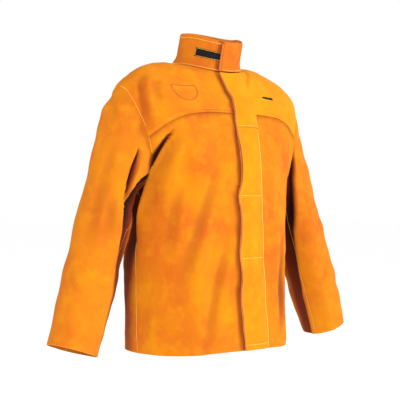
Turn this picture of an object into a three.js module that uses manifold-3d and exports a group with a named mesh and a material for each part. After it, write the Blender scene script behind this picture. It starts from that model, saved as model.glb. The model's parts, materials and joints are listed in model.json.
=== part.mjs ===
// A leather welding jacket, closed, in the shape that it has on a wearer's shoulders or on a hanger.
//
// Millimetres. +Z is up, -Y is the front and +X is the wearer's left. The origin is the centre of the
// neck opening, on the jacket's middle plane. Right and left are the wearer's.
//
// Every panel of hide is a thin shell laid on one of three surfaces: the body, a sleeve or the collar.
// A surface takes two numbers and gives a point. A panel is the part of a surface between its seams,
// lifted off it by the layers beneath and thickened to its own leather.

import * as THREE from "three";
import { mergeVertices } from "three/addons/utils/BufferGeometryUtils.js";
import Module from "manifold-3d";

const wasm = await Module();
wasm.setup();

// ---------------------------------------------------------------- materials

const HIDE = new THREE.MeshStandardMaterial({ color: 0xf0921e, roughness: 0.85, metalness: 0 });
const FLESH = new THREE.MeshStandardMaterial({ color: 0xd9832b, roughness: 0.95, metalness: 0 });
const TAPE = new THREE.MeshStandardMaterial({ color: 0x1b1915, roughness: 0.95, metalness: 0 });
const METAL = new THREE.MeshStandardMaterial({ color: 0x9a8f7a, roughness: 0.4, metalness: 1 });
const LABEL = new THREE.MeshStandardMaterial({ color: 0xe8e2d4, roughness: 0.9, metalness: 0 });

// ---------------------------------------------------------------- driving dimensions

const HIDE_THICK = 1.4; // split cowhide of the outer panels
const FACING_THICK = 1.2; // thinner hide behind the closure and inside the collar
const GAP = 0.5; // free space between two layers that lie on each other
const SEAM = 0.8; // free space between two panels that are sewn edge to edge

// The body from hem to neck. Each row is a level cross-section: how far it lies below the neck at the
// wearer's side, half its width, its depth in front of and behind the middle, how much lower it runs
// at the front and the back than at the side, and how square it is (2 is an ellipse).
const BODY = [
  { drop: 766, half: 230, front: 171, back: 150, frontDrop: 0, backDrop: 0, square: 2.3 }, // hem
  { drop: 615, half: 232, front: 165, back: 146, frontDrop: 4, backDrop: 0, square: 2.3 }, // hip
  { drop: 480, half: 234, front: 161, back: 142, frontDrop: 4, backDrop: 0, square: 2.3 }, // waist
  { drop: 335, half: 236, front: 158, back: 138, frontDrop: 0, backDrop: 4, square: 2.4 }, // armpit
  { drop: 225, half: 264, front: 152, back: 132, frontDrop: 14, backDrop: 10, square: 2.5 }, // chest
  { drop: 86, half: 280, front: 130, back: 112, frontDrop: 44, backDrop: 28, square: 2.4 }, // shoulder point
  { drop: 18, half: 180, front: 106, back: 96, frontDrop: 72, backDrop: 10, square: 2.2 }, // shoulder
  { drop: 14, half: 90, front: 88, back: 80, frontDrop: 22, backDrop: -18, square: 2.0 }, // neck
];
const HEM = 0;
const ARMPIT = 3;
const SHOULDER_POINT = 5;
const NECK = 7;
const DROP_SPREAD = 1.6; // how fast a level's drop fades from the front or back towards the side

const ARMHOLE_OPENING = 27; // half the armhole's width, in degrees round the body
const ARMHOLE_ROUNDNESS = 2.4;

// The yoke's lower seam.
const YOKE_DROP = 148; // at the middle of the front
const YOKE_SWEEP = 62; // how much lower it meets the armhole
const YOKE_REACH = 240; // where that is, across the body
const YOKE_CURVE = 4.5;
const BACK_YOKE_DROP = 172;
const BACK_YOKE_SWEEP = 30;
const YOKE_LAP = 12; // the yoke lies on the panel below it by this much
const YOKE_SETTLE = 3; // its left front comes down from the closure over one third of its width

// The storm flap covers the closure. Its two long edges run straight, and widen towards the hem.
const FLAP_TOP = 184; // below the neck: the yoke covers the closure down to here
const STITCH_X = { top: 64, bottom: 92 }; // where it is sewn to the left front
const FREE_X = { top: -20, bottom: -2 }; // its free edge
// How the flap rises over the press studs, in shares of its width from the sewn edge. It has risen by
// "risen" and starts to come down at "falls", and its facing leaves it and meets it again.
const FLAP_SHAPE = { risen: 0.42, falls: 0.72, leaves: 0.12, meets: 0.78, ease: 0.2 };
const FLAP_DROP = 2.0; // how much lower its free edge is than the height over the press studs
const FLAP_NECK_ROOM = 0.6; // extra room below the collar for each millimetre that it stands off
const UNDERLAP = 12; // the right front stops this short of the flap's sewn edge
const FACING_BACK = 6; // the right facing starts this far past the flap's free edge

// The stand collar and its closing tab.
const COLLAR_HEIGHT = 79;
const COLLAR_TAPER = 7; // how much narrower it is than the neck seam
const COLLAR_LEAN = 17; // how far its rim leans forward
const COLLAR_RIGHT_END = -62; // its under end, in degrees round the neck
const TAB_HINGE = -28;
const TAB_FREE = -108;
const TAB_RISE_OVER = 27; // degrees over which the tab climbs onto the tapes
const TAPE_WIDTH = 25; // hook and loop tape
const TAPE_THICK = 1.0;
const TAPE_CENTRE = 39; // above the neck seam
const LOOP_TAPE = { from: -80, to: -158 };
const HOOK_TAPE = { from: -68, to: -104 };

// The sleeves.
const BICEPS = new THREE.Vector3(330, 0, -440);
const CUFF = new THREE.Vector3(432, -10, -741);
const BICEPS_RADIUS = { side: 70, front: 78 };
const CUFF_RADIUS = { side: 57, front: 65 };
const CAP_LEAVES = { out: 0.4, down: 0.8 }; // how the sleeve heads as it leaves the shoulder point
const UNDER_LEAVES = { out: 0.2, down: 1 }; // the same at the armpit
const SLEEVE_CLEAR = { top: 1.5, armpit: 4.5 }; // between the sleeve's mouth and the armhole
// The sleeve's two seams round it: 0 is outside, 90 front, 180 inside. The front one swings forward
// between two places down the sleeve, where 1 is the biceps and 2 the cuff.
const FRONT_SEAM = { top: 165, cuff: 112, starts: 0.5, ends: 1.4 };
const BACK_SEAM = { top: 222, cuff: 242 };

// A press stud. The socket hangs under the flap's facing and the stud stands on the right front.
const SNAP_HEIGHTS = [-262, -428, -596];
const SNAP_ACROSS = 0.54; // share of the flap's width from its sewn edge
const SNAP_SIDES = 10;
const SHANK_RADIUS = 2.0;
const SHANK_HOLE = 2.6;
const DRILL_LENGTH = 40; // anything longer than the layers are thick
const CAP_RADIUS = 7;
const CAP_THICK = 0.9;
const SOCKET_RADIUS = 6.2;
const SOCKET_DEPTH = 2.4;
const SOCKET_PLATE = 0.6;
const STUD_FLANGE = { radius: 5.4, thick: 0.8 };
const STUD_HEAD = { radius: 3.2, height: 1.9, neck: 0.85, crown: 0.8 }; // its ends, as shares of it
const STUD_PLAY = 1.1; // between the stud's head and the socket's wall
const POST_RADIUS = 6;
const POST_THICK = 0.9;
const FIT = 0.6; // free space between a press stud and the leather it holds
const TOUCH = 0.3; // free space between two metal faces that meet

// Small pieces.
const HANGER = { half: 30, rise: 26, width: 8, thick: 2, seat: 5, clear: 1.5, off: 9 };
const HANGER_STEPS = 9; // odd, so that its crown is one flat face
const PATCH_STEPS = 4;
const NECK_LABEL = { half: 26, from: -14, to: -44, thick: 0.5, off: 2 };
const CHEST_TAG = { x: 125, half: 20, height: 7, z: -100, thick: 0.6, off: 1.9 };

// ---------------------------------------------------------------- small helpers

const radians = THREE.MathUtils.degToRad;
const degrees = THREE.MathUtils.radToDeg;
const lerp = THREE.MathUtils.lerp;
const smooth = (x) => THREE.MathUtils.smoothstep(x, 0, 1);
const power = (x, p) => Math.sign(x) * Math.abs(x) ** p;

// Small steps along a surface for its slopes: degrees round it, levels up the body, shares of the
// collar's height and of the way down a sleeve or round the hanger loop.
const STEP = { degrees: 1, level: 0.02, collar: 0.02, sleeve: 0.005, loop: 0.01 };
const SETTLE_ROUNDS = 8; // rounds in which an edge and a level that depend on each other settle
const HALVINGS = 40;
const FRONT = -90; // the middle of the front, in degrees round the body
const TOP_SEARCH = NECK - 0.2; // a height on the body is looked for up to this level

// n + 1 even steps from a to b.
const steps = (a, b, n) => Array.from({ length: n + 1 }, (_, i) => lerp(a, b, i / n));

// ---------------------------------------------------------------- the body's surface

// One column of the body's chart at any level, with a smooth curve through its rows.
function chart(field, level) {
  const last = BODY.length - 1;
  const i = Math.min(Math.max(Math.floor(level), 0), last - 1);
  const t = level - i;
  const a = BODY[i][field];
  const b = BODY[i + 1][field];
  const slopeA = i > 0 ? (b - BODY[i - 1][field]) / 2 : b - a;
  const slopeB = i < last - 1 ? (BODY[i + 2][field] - a) / 2 : b - a;
  const t2 = t * t;
  const t3 = t2 * t;
  const ends = (2 * t3 - 3 * t2 + 1) * a + (3 * t2 - 2 * t3) * b;
  return ends + (t3 - 2 * t2 + t) * slopeA + (t3 - t2) * slopeB;
}

// A point of the body. The angle goes round it: 0 is the left side, -90 the front, 90 the back.
function bodyPoint(level, angle) {
  const share = 2 / chart("square", level);
  const across = power(Math.cos(radians(angle)), share);
  const along = power(Math.sin(radians(angle)), share);
  const isFront = along < 0;
  const depth = chart(isFront ? "front" : "back", level);
  const drop = chart(isFront ? "frontDrop" : "backDrop", level) * Math.abs(along) ** DROP_SPREAD;
  return new THREE.Vector3(chart("half", level) * across, depth * along, -chart("drop", level) - drop);
}

// The unit normal of any surface, from the points beside the one asked for.
function normalOf(surface, u, v, stepU, stepV) {
  const alongU = surface(u + stepU, v).sub(surface(u - stepU, v));
  const alongV = surface(u, v + stepV).sub(surface(u, v - stepV));
  return alongU.cross(alongV).normalize();
}

const onBody = (level, angle) => ({
  point: bodyPoint(level, angle),
  normal: normalOf((a, l) => bodyPoint(l, a), angle, level, STEP.degrees, STEP.level),
});

// How many levels, or degrees, make a length along the body's surface.
const levelsFor = (length, level, angle) =>
  (length * STEP.level) / bodyPoint(level, angle).distanceTo(bodyPoint(level - STEP.level, angle));
const degreesFor = (length, level, angle) =>
  length / bodyPoint(level, angle + 0.5).distanceTo(bodyPoint(level, angle - 0.5));

// The level at which height(point) is zero, going up from a level below it.
function levelWhere(height, angle, low, high) {
  let a = low;
  let b = high;
  for (let k = 0; k < HALVINGS; k++) {
    const middle = (a + b) / 2;
    if (height(bodyPoint(middle, angle)) < 0) a = middle;
    else b = middle;
  }
  return (a + b) / 2;
}

// The angle of the front point at this level whose x is xAt(its height).
function frontAngle(level, xAt) {
  let angle = FRONT;
  for (let k = 0; k < SETTLE_ROUNDS; k++) {
    const share = xAt(bodyPoint(level, angle).z) / chart("half", level);
    angle = -degrees(Math.acos(power(share, chart("square", level) / 2)));
  }
  return angle;
}

// Half the armhole's opening at a level, in degrees.
function armholeOpening(level) {
  const share = (2 * (level - ARMPIT)) / (SHOULDER_POINT - ARMPIT) - 1;
  if (Math.abs(share) >= 1) return 0;
  return ARMHOLE_OPENING * Math.sqrt(1 - Math.abs(share) ** ARMHOLE_ROUNDNESS);
}

// A body panel's place: u runs between two edges, given as angles, and v between two levels.
// An edge may depend on the level and a level on the angle, so the two are settled together.
function between(angleFrom, angleTo, levelFrom, levelTo) {
  return (u, v) => {
    let angle = lerp(angleFrom(1), angleTo(1), u);
    let level = 1;
    for (let k = 0; k < SETTLE_ROUNDS; k++) {
      level = lerp(levelFrom(angle), levelTo(angle), v);
      angle = lerp(angleFrom(level), angleTo(level), u);
    }
    return onBody(level, angle);
  };
}

// ---------------------------------------------------------------- seams and edges of the body

const hem = () => HEM;

// The side of the body: the side seam, and above it the armhole's edge.
const leftFrontSide = (level) => -armholeOpening(level) - degreesFor(SEAM / 2, level, 0);
const rightFrontSide = (level) => -180 - leftFrontSide(level);
const leftBackSide = (level) => armholeOpening(level) + degreesFor(SEAM / 2, level, 0);
const rightBackSide = (level) => 180 - leftBackSide(level);

const flapEdgeX = (edge) => (z) =>
  lerp(edge.top, edge.bottom, (-z - YOKE_DROP) / (BODY[HEM].drop - YOKE_DROP));
const stitchX = flapEdgeX(STITCH_X);
const freeX = flapEdgeX(FREE_X);
const flapWidth = (z) => stitchX(z) - freeX(z);
const acrossFlap = (share) => (z) => stitchX(z) - share * flapWidth(z);

const yokeSeam = (point) => -YOKE_DROP - YOKE_SWEEP * (Math.abs(point.x) / YOKE_REACH) ** YOKE_CURVE;
const backYokeSeam = (point) => -BACK_YOKE_DROP - BACK_YOKE_SWEEP * (point.x / YOKE_REACH) ** 2;

const seamLevel = (seam, below = 0) => (angle) =>
  levelWhere((p) => p.z - seam(p) + below, angle, ARMPIT - 0.5, TOP_SEARCH);
const neckLevel = (room) => (angle) => NECK - levelsFor(room(angle), NECK, angle);

// ---------------------------------------------------------------- panels

// A closed shell on a surface. place(u, v) gives a point and its normal, lift(u, v) how far off the
// surface the inner face lies.
function shell(us, vs, place, lift, thick) {
  const inner = [];
  const outer = [];
  for (const v of vs) {
    for (const u of us) {
      const { point, normal } = place(u, v);
      inner.push(point.clone().addScaledVector(normal, lift(u, v)));
      outer.push(point.clone().addScaledVector(normal, lift(u, v) + thick));
    }
  }
  const columns = us.length;
  const rows = vs.length;
  const faces = [];
  const quad = (a, b, c, d) => faces.push(a, b, c, a, c, d);
  const at = (i, j, layer) => layer * inner.length + j * columns + i;
  for (let j = 0; j + 1 < rows; j++) {
    for (let i = 0; i + 1 < columns; i++) {
      quad(at(i, j, 1), at(i + 1, j, 1), at(i + 1, j + 1, 1), at(i, j + 1, 1));
      quad(at(i, j, 0), at(i, j + 1, 0), at(i + 1, j + 1, 0), at(i + 1, j, 0));
    }
  }
  for (let i = 0; i + 1 < columns; i++) {
    quad(at(i, 0, 0), at(i + 1, 0, 0), at(i + 1, 0, 1), at(i, 0, 1));
    quad(at(i, rows - 1, 1), at(i + 1, rows - 1, 1), at(i + 1, rows - 1, 0), at(i, rows - 1, 0));
  }
  const end = columns - 1;
  for (let j = 0; j + 1 < rows; j++) {
    quad(at(0, j, 1), at(0, j + 1, 1), at(0, j + 1, 0), at(0, j, 0));
    quad(at(end, j, 0), at(end, j + 1, 0), at(end, j + 1, 1), at(end, j, 1));
  }
  const geometry = new THREE.BufferGeometry();
  const positions = [...inner, ...outer].flatMap((p) => p.toArray());
  geometry.setAttribute("position", new THREE.Float32BufferAttribute(positions, 3));
  geometry.setIndex(facingOut(geometry, faces));
  return geometry;
}

// The faces in the order that makes them point out of the solid.
function facingOut(geometry, faces) {
  const positions = geometry.getAttribute("position");
  const corner = (k) => new THREE.Vector3().fromBufferAttribute(positions, faces[k]);
  let volume = 0;
  for (let k = 0; k < faces.length; k += 3) volume += corner(k).dot(corner(k + 1).cross(corner(k + 2)));
  return volume > 0 ? faces : faces.reverse();
}

function named(name, geometry, material) {
  const mesh = new THREE.Mesh(geometry, material);
  mesh.name = name;
  return mesh;
}

// ---------------------------------------------------------------- body panels

const flat = () => 0;
const noRoom = () => SEAM;

// A place whose v reaches one level at a given share of its way, so that a row lies along that level.
function staged(placeBetween, from, middle, to, share) {
  const below = placeBetween(from, () => middle);
  const above = placeBetween(() => middle, to);
  return (u, v) => (v < share ? below(u, v / share) : above(u, (v - share) / (1 - share)));
}

// The front and back panels pass the armpit, where the armhole starts to open.
const ARMPIT_SHARE = 0.66;
const PANEL_ROWS = [0, 0.13, 0.26, 0.39, 0.52, ARMPIT_SHARE, 0.68, 0.73, 0.81, 0.9, 1];
const panelPlace = (placeBetween, seam) =>
  staged(placeBetween, hem, ARMPIT, seamLevel(seam, SEAM), ARMPIT_SHARE);

// The yokes pass the shoulder point, where it closes. There, v from -1 to 0 is the lap over the panel
// below, and from 0 to 1 the yoke itself.
const SHOULDER_SHARE = 0.3;
function yokePlace(placeBetween, seam, room) {
  const above = staged(placeBetween, seamLevel(seam), SHOULDER_POINT, neckLevel(room), SHOULDER_SHARE);
  const lap = placeBetween(seamLevel(seam, YOKE_LAP), seamLevel(seam));
  return (u, v) => (v < 0 ? lap(u, 1 + v) : above(u, v));
}
const YOKE_ROWS = [-1, 0, 0.15, 0.24, 0.285, SHOULDER_SHARE, 0.45, 0.6, 0.73, 0.84, 0.93, 1];
const LAP_END = YOKE_ROWS[2]; // where the yoke has come down from the lap
const FACING_YOKE_ROWS = YOKE_ROWS.slice(1, -1); // the facings end a row below the neck seam
const lapLift = (v) => (HIDE_THICK + GAP) * (1 - smooth(v / LAP_END));

// How far the flap's facing lies below its outer leather: close at both edges, apart over the press
// studs, whose caps lie between them.
const closeLayers = FACING_THICK + GAP;
const capLayers = FACING_THICK + FIT + CAP_THICK + FIT;
function facingDepth(share) {
  const left = smooth((share - FLAP_SHAPE.leaves) / FLAP_SHAPE.ease);
  const met = smooth((share - FLAP_SHAPE.meets) / FLAP_SHAPE.ease);
  return lerp(closeLayers, capLayers, left * (1 - met));
}

// Heights of a press stud's parts from the body's surface outward.
const studBase = HIDE_THICK + FIT;
const studTop = studBase + STUD_FLANGE.thick + STUD_HEAD.height;
const socketPlate = studTop + TOUCH;
const socketTop = socketPlate + SOCKET_PLATE;
const socketRim = socketTop - SOCKET_DEPTH;

// How high the flap's outer leather stands, by its share of the way to the free edge. It lies on the
// left front's leather at its sewn edge and clears the press studs' whole stack.
const sewnLift = HIDE_THICK + FIT;
const snapLift = socketTop + FIT + capLayers;
function flapLift(share) {
  const risen = lerp(sewnLift, snapLift, smooth(share / FLAP_SHAPE.risen));
  return risen - FLAP_DROP * smooth((share - FLAP_SHAPE.falls) / (1 - FLAP_SHAPE.falls));
}

const FLAP_ROWS = 11;
const FLAP_SHARES = [0.012, 0.12, 0.26, 0.4, 0.54, 0.68, 0.84, 1];
const FACING_SHARES = FLAP_SHARES.slice(2); // it clears the sewn edge

// A panel across the flap's width, where u is the share of it.
function flapPlace(levelFrom, levelTo) {
  return (share, v) => {
    let angle = FRONT;
    let level = 1;
    for (let k = 0; k < SETTLE_ROUNDS; k++) {
      level = lerp(levelFrom(angle), levelTo(angle), v);
      angle = frontAngle(level, acrossFlap(share));
    }
    return onBody(level, angle);
  };
}

const underEdge = (level) => frontAngle(level, (z) => stitchX(z) - UNDERLAP);
const facingEdge = (level) => frontAngle(level, (z) => freeX(z) - FACING_BACK);
const leftEdge = (level) => frontAngle(level, stitchX) + degreesFor(SEAM / 2, level, -70);
const flapTopLevel = (below) => seamLevel(() => -FLAP_TOP, below);

// Round the right front, u from 0 to 1 reaches the facing's edge, and from 1 to 2 covers the facing,
// so that the two layers share their columns there.
const RIGHT_COLUMNS = [...steps(0, 1, 8), ...steps(1, 2, 4).slice(1)];
const FACING_COLUMNS = steps(1, 2, 4);
const rightAngle = (share) => (level) =>
  share < 1
    ? lerp(rightFrontSide(level), facingEdge(level), share)
    : lerp(facingEdge(level), underEdge(level), share - 1);

function rightPlace(levelFrom, levelTo) {
  return (u, v) => between(rightAngle(u), rightAngle(u), levelFrom, levelTo)(0, v);
}

const rightPanelPlace = panelPlace(rightPlace, yokeSeam);

function rightFrontPanel() {
  return shell(RIGHT_COLUMNS, PANEL_ROWS, rightPanelPlace, flat, HIDE_THICK);
}

function leftFrontPanel() {
  const place = panelPlace((from, to) => between(leftEdge, leftFrontSide, from, to), yokeSeam);
  return shell(steps(0, 1, 8), PANEL_ROWS, place, flat, HIDE_THICK);
}

const acrossBack = (from, to) => between(leftBackSide, rightBackSide, from, to);

function backPanel() {
  const place = panelPlace(acrossBack, backYokeSeam);
  return shell(steps(0, 1, 16), PANEL_ROWS, place, flat, HIDE_THICK);
}

function backYoke() {
  const place = yokePlace(acrossBack, backYokeSeam, noRoom);
  return shell(steps(0, 1, 16), YOKE_ROWS, place, (u, v) => lapLift(v), HIDE_THICK);
}

const rightYokePlace = yokePlace(rightPlace, yokeSeam, noRoom);

function rightFrontYoke() {
  return shell(RIGHT_COLUMNS, YOKE_ROWS, rightYokePlace, (u, v) => lapLift(v), HIDE_THICK);
}

// The left yoke runs on over the closure, where it stands as high as the flap below it. There its
// columns are the flap's, and its neck edge keeps clear of the collar tab above it.
function overFlapPlace(share, v) {
  const room = () => SEAM + FLAP_NECK_ROOM * flapLift(share);
  return yokePlace(flapPlace, () => -FLAP_TOP, room)(share, v);
}

function leftFrontYoke() {
  const overFlap = FLAP_SHARES.toReversed();
  const beside = steps(0, 1, 8);
  const columns = [...overFlap.map((share) => ({ share })), ...beside.map((u) => ({ u, share: -u }))];
  const acrossLeft = (from, to) => between(leftEdge, leftFrontSide, from, to);
  const placeBeside = yokePlace(acrossLeft, yokeSeam, noRoom);
  const place = (i, v) => {
    const { share, u } = columns[i];
    return share > 0 ? overFlapPlace(share, v) : placeBeside(u, v);
  };
  const lift = (i, v) => {
    const { share, u } = columns[i];
    if (share > 0) return flapLift(share);
    return Math.max(lapLift(v), sewnLift * (1 - smooth(u * YOKE_SETTLE)));
  };
  return shell(columns.map((_, i) => i), YOKE_ROWS, place, lift, HIDE_THICK);
}

// ---------------------------------------------------------------- closure

// The strip behind the right front's edge that backs the studs, from collar to hem.
function rightFrontFacing() {
  const rows = [...PANEL_ROWS, ...FACING_YOKE_ROWS.slice(1).map((v) => 1 + v)];
  const place = (u, v) => (v <= 1 ? rightPanelPlace(u, v) : rightYokePlace(u, v - 1));
  return shell(FACING_COLUMNS, rows, place, () => -GAP - FACING_THICK, FACING_THICK);
}

function flapOuter() {
  const place = flapPlace(hem, flapTopLevel(YOKE_LAP + SEAM));
  return shell(FLAP_SHARES, steps(0, 1, FLAP_ROWS), place, flapLift, HIDE_THICK);
}

const flapFacingLift = (share) => flapLift(share) - facingDepth(share);

function flapFacing() {
  const place = flapPlace(hem, flapTopLevel(YOKE_LAP + SEAM));
  return shell(FACING_SHARES, steps(0, 1, FLAP_ROWS), place, flapFacingLift, FACING_THICK);
}

// The same facing above the flap, under the left yoke.
function upperFacing() {
  return shell(FACING_SHARES, FACING_YOKE_ROWS, overFlapPlace, flapFacingLift, FACING_THICK);
}

// ---------------------------------------------------------------- press studs

// A turned piece: its profile is a closed list of [radius, height] about the stud's own axis.
function turned(profile) {
  const points = profile.map(([radius, height]) => new THREE.Vector2(radius, height));
  return new THREE.LatheGeometry(points, SNAP_SIDES).rotateX(Math.PI / 2);
}

// A disc between two heights. Its shank goes on to shankEnd, which is below the disc or above it.
function disc(radius, low, high, shankEnd) {
  const shank = (level) => [[SHANK_RADIUS, level], [SHANK_RADIUS, shankEnd], [0, shankEnd]];
  const under = shankEnd < low ? shank(low).reverse() : [[0, low]];
  const over = shankEnd > high ? shank(high) : [[0, high]];
  return turned([...under, [radius, low], [radius, high], ...over]);
}

// Heights of its outer parts along its axis, from the body's surface outward.
const capBase = flapFacingLift(SNAP_ACROSS) + FACING_THICK + FIT;
const postTop = -GAP - FACING_THICK - FIT;

const snapPieces = {
  snap_cap: () => disc(CAP_RADIUS, capBase, capBase + CAP_THICK, socketTop + TOUCH),
  snap_socket: () => {
    const bore = STUD_HEAD.radius + STUD_PLAY;
    return turned([
      [0, socketPlate],
      [bore, socketPlate],
      [bore, socketRim],
      [SOCKET_RADIUS, socketRim],
      [SOCKET_RADIUS, socketTop],
      [0, socketTop],
    ]);
  },
  snap_stud: () => {
    const shoulder = studBase + STUD_FLANGE.thick;
    return turned([
      [0, studBase],
      [STUD_FLANGE.radius, studBase],
      [STUD_FLANGE.radius, shoulder],
      [STUD_HEAD.radius * STUD_HEAD.neck, shoulder],
      [STUD_HEAD.radius, (shoulder + studTop) / 2],
      [STUD_HEAD.radius * STUD_HEAD.crown, studTop],
      [0, studTop],
    ]);
  },
  snap_post: () => disc(POST_RADIUS, postTop - POST_THICK, postTop, studBase - TOUCH),
};

// Where each press stud stands, with its axis along the body's normal.
const snapFrames = SNAP_HEIGHTS.map((z) => {
  const level = levelWhere((p) => p.z - z, FRONT, HEM, TOP_SEARCH);
  const { point, normal } = onBody(level, frontAngle(level, acrossFlap(SNAP_ACROSS)));
  const turn = new THREE.Quaternion().setFromUnitVectors(new THREE.Vector3(0, 0, 1), normal);
  return { point, turn };
});

function placedSnap(kind, i) {
  const mesh = named(`${kind}_${i + 1}`, snapPieces[kind](), METAL);
  mesh.position.copy(snapFrames[i].point);
  mesh.quaternion.copy(snapFrames[i].turn);
  return mesh;
}

// ---------------------------------------------------------------- holes for the press studs

function solidOf(geometry) {
  const bare = geometry.clone();
  bare.deleteAttribute("normal");
  bare.deleteAttribute("uv");
  const merged = mergeVertices(bare, 1e-4);
  const vertProperties = new Float32Array(merged.getAttribute("position").array);
  const triVerts = new Uint32Array(merged.index.array);
  return new wasm.Manifold(new wasm.Mesh({ numProp: 3, vertProperties, triVerts }));
}

function geometryOf(solid) {
  const mesh = solid.getMesh();
  const geometry = new THREE.BufferGeometry();
  geometry.setAttribute("position", new THREE.BufferAttribute(new Float32Array(mesh.vertProperties), 3));
  geometry.setIndex(new THREE.BufferAttribute(new Uint32Array(mesh.triVerts), 1));
  return geometry;
}

// A panel with a hole for the shank of each press stud.
function punched(geometry) {
  let solid = solidOf(geometry);
  for (const { point, turn } of snapFrames) {
    const drill = new THREE.CylinderGeometry(SHANK_HOLE, SHANK_HOLE, DRILL_LENGTH, SNAP_SIDES);
    drill.rotateX(Math.PI / 2).applyQuaternion(turn).translate(point.x, point.y, point.z);
    solid = solid.subtract(solidOf(drill));
  }
  return geometryOf(solid);
}

// ---------------------------------------------------------------- collar

// h goes up the collar from 0 to 1. It narrows just above the neck seam, and leans forward.
function collarPoint(h, angle) {
  const { x, y, z } = bodyPoint(NECK, angle);
  const narrow = 1 - (COLLAR_TAPER / BODY[NECK].half) * (1 - (1 - h) ** 3);
  return new THREE.Vector3(x * narrow, y * narrow - COLLAR_LEAN * h, z + COLLAR_HEIGHT * h);
}

function onCollar(height, angle) {
  const h = height / COLLAR_HEIGHT;
  const normal = normalOf((a, k) => collarPoint(k, a), angle, h, STEP.degrees, STEP.collar);
  return { point: collarPoint(h, angle), normal };
}

const COLLAR_BASE = 1.6; // the collar's leather starts this far above the neck seam
const COLLAR_STEP = 10; // degrees
const tapeRows = [TAPE_CENTRE - TAPE_WIDTH / 2, TAPE_CENTRE, TAPE_CENTRE + TAPE_WIDTH / 2];
const collarRows = [COLLAR_BASE, (COLLAR_BASE + tapeRows[0]) / 2, ...tapeRows, COLLAR_HEIGHT];
const outerLift = FACING_THICK + GAP;
const loopTapeLift = outerLift + HIDE_THICK + GAP;
const tabLift = loopTapeLift + 2 * (TAPE_THICK + GAP);

// The tab climbs from the collar's own layer onto the tapes.
const tabRise = (angle) => tabLift * smooth((TAB_HINGE - angle) / TAB_RISE_OVER);

// A strip round the collar from one angle to a lower one. Every strip has its columns at the same
// whole steps, so that the layers keep their distance.
function collarStrip(from, to, rows, lift, thick) {
  const columns = [from];
  const first = Math.ceil(from / COLLAR_STEP - 1) * COLLAR_STEP;
  for (let angle = first; angle > to; angle -= COLLAR_STEP) columns.push(angle);
  const place = (angle, height) => onCollar(height, angle);
  return shell([...columns, to], rows, place, lift, thick);
}

const collarLeftEnd = TAB_HINGE - 360 + degrees(SEAM / BODY[NECK].half);

const roundNeck = (lift, thick) =>
  collarStrip(COLLAR_RIGHT_END, collarLeftEnd, collarRows, lift, thick);

const collarPieces = {
  collar_outer: () => roundNeck(() => outerLift, HIDE_THICK),
  collar_lining: () => roundNeck(flat, FACING_THICK),
  collar_tab_outer: () =>
    collarStrip(TAB_HINGE, TAB_FREE, collarRows, (angle) => outerLift + tabRise(angle), HIDE_THICK),
  collar_tab_lining: () => collarStrip(TAB_HINGE, TAB_FREE, collarRows, tabRise, FACING_THICK),
  collar_loop_tape: () =>
    collarStrip(LOOP_TAPE.from, LOOP_TAPE.to, tapeRows, () => loopTapeLift, TAPE_THICK),
  collar_hook_tape: () =>
    collarStrip(HOOK_TAPE.from, HOOK_TAPE.to, tapeRows, () => tabLift - GAP - TAPE_THICK, TAPE_THICK),
};

// ---------------------------------------------------------------- sleeves

// Round a sleeve, 0 is its outside, 90 its front, 180 its inside. side is 1 on the left, -1 on the right.
function armholePoint(turn, side) {
  const c = Math.cos(radians(turn));
  const middle = (ARMPIT + SHOULDER_POINT) / 2;
  const level = middle + (SHOULDER_POINT - middle) * power(c, 2 / ARMHOLE_ROUNDNESS);
  const opening = armholeOpening(level) * Math.sign(Math.sin(radians(turn)));
  const point = bodyPoint(level, side > 0 ? -opening : 180 + opening);
  point.x += side * lerp(SLEEVE_CLEAR.armpit, SLEEVE_CLEAR.top, (1 + c) / 2);
  return point;
}

const mirrored = (vector, side) => new THREE.Vector3(side * vector.x, vector.y, vector.z);

function sleeveFrame(side) {
  const biceps = mirrored(BICEPS, side);
  const cuff = mirrored(CUFF, side);
  const axis = cuff.clone().sub(biceps).normalize();
  const front = new THREE.Vector3(0, -1, 0).projectOnPlane(axis).normalize();
  const outside = new THREE.Vector3().crossVectors(axis, front).multiplyScalar(-side);
  return { biceps, cuff, axis, front, outside };
}

function ringPoint({ biceps, cuff, front, outside }, down, turn) {
  const sideRadius = lerp(BICEPS_RADIUS.side, CUFF_RADIUS.side, down);
  const frontRadius = lerp(BICEPS_RADIUS.front, CUFF_RADIUS.front, down);
  return biceps
    .clone()
    .lerp(cuff, down)
    .addScaledVector(outside, sideRadius * Math.cos(radians(turn)))
    .addScaledVector(front, frontRadius * Math.sin(radians(turn)));
}

// t goes down the sleeve: 0 at the armhole, 1 at the biceps, 2 at the cuff. Above the biceps each
// line of it is a cubic from the armhole, in the direction that the sleeve leaves it, to the arm's.
function sleevePoint(t, turn, side) {
  const frame = sleeveFrame(side);
  if (t > 1) return ringPoint(frame, t - 1, turn);
  const start = armholePoint(turn, side);
  const end = ringPoint(frame, 0, turn);
  const reach = start.distanceTo(end);
  const top = (1 + Math.cos(radians(turn))) / 2;
  const out = side * lerp(UNDER_LEAVES.out, CAP_LEAVES.out, top);
  const leaving = new THREE.Vector3(out, 0, -lerp(UNDER_LEAVES.down, CAP_LEAVES.down, top)).normalize();
  const t2 = t * t;
  const t3 = t2 * t;
  return start
    .multiplyScalar(2 * t3 - 3 * t2 + 1)
    .addScaledVector(leaving, (t3 - 2 * t2 + t) * reach)
    .addScaledVector(end, 3 * t2 - 2 * t3)
    .addScaledVector(frame.axis, (t3 - t2) * reach);
}

function onSleeve(t, turn, side) {
  const point = sleevePoint(t, turn, side);
  const surface = (angle, down) => sleevePoint(down, angle, side);
  const normal = normalOf(surface, turn, t, STEP.degrees, STEP.sleeve);
  const middle = sleevePoint(t, turn + 180, side).add(point).multiplyScalar(0.5);
  if (normal.dot(point.clone().sub(middle)) < 0) normal.negate();
  return { point, normal };
}

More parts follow.
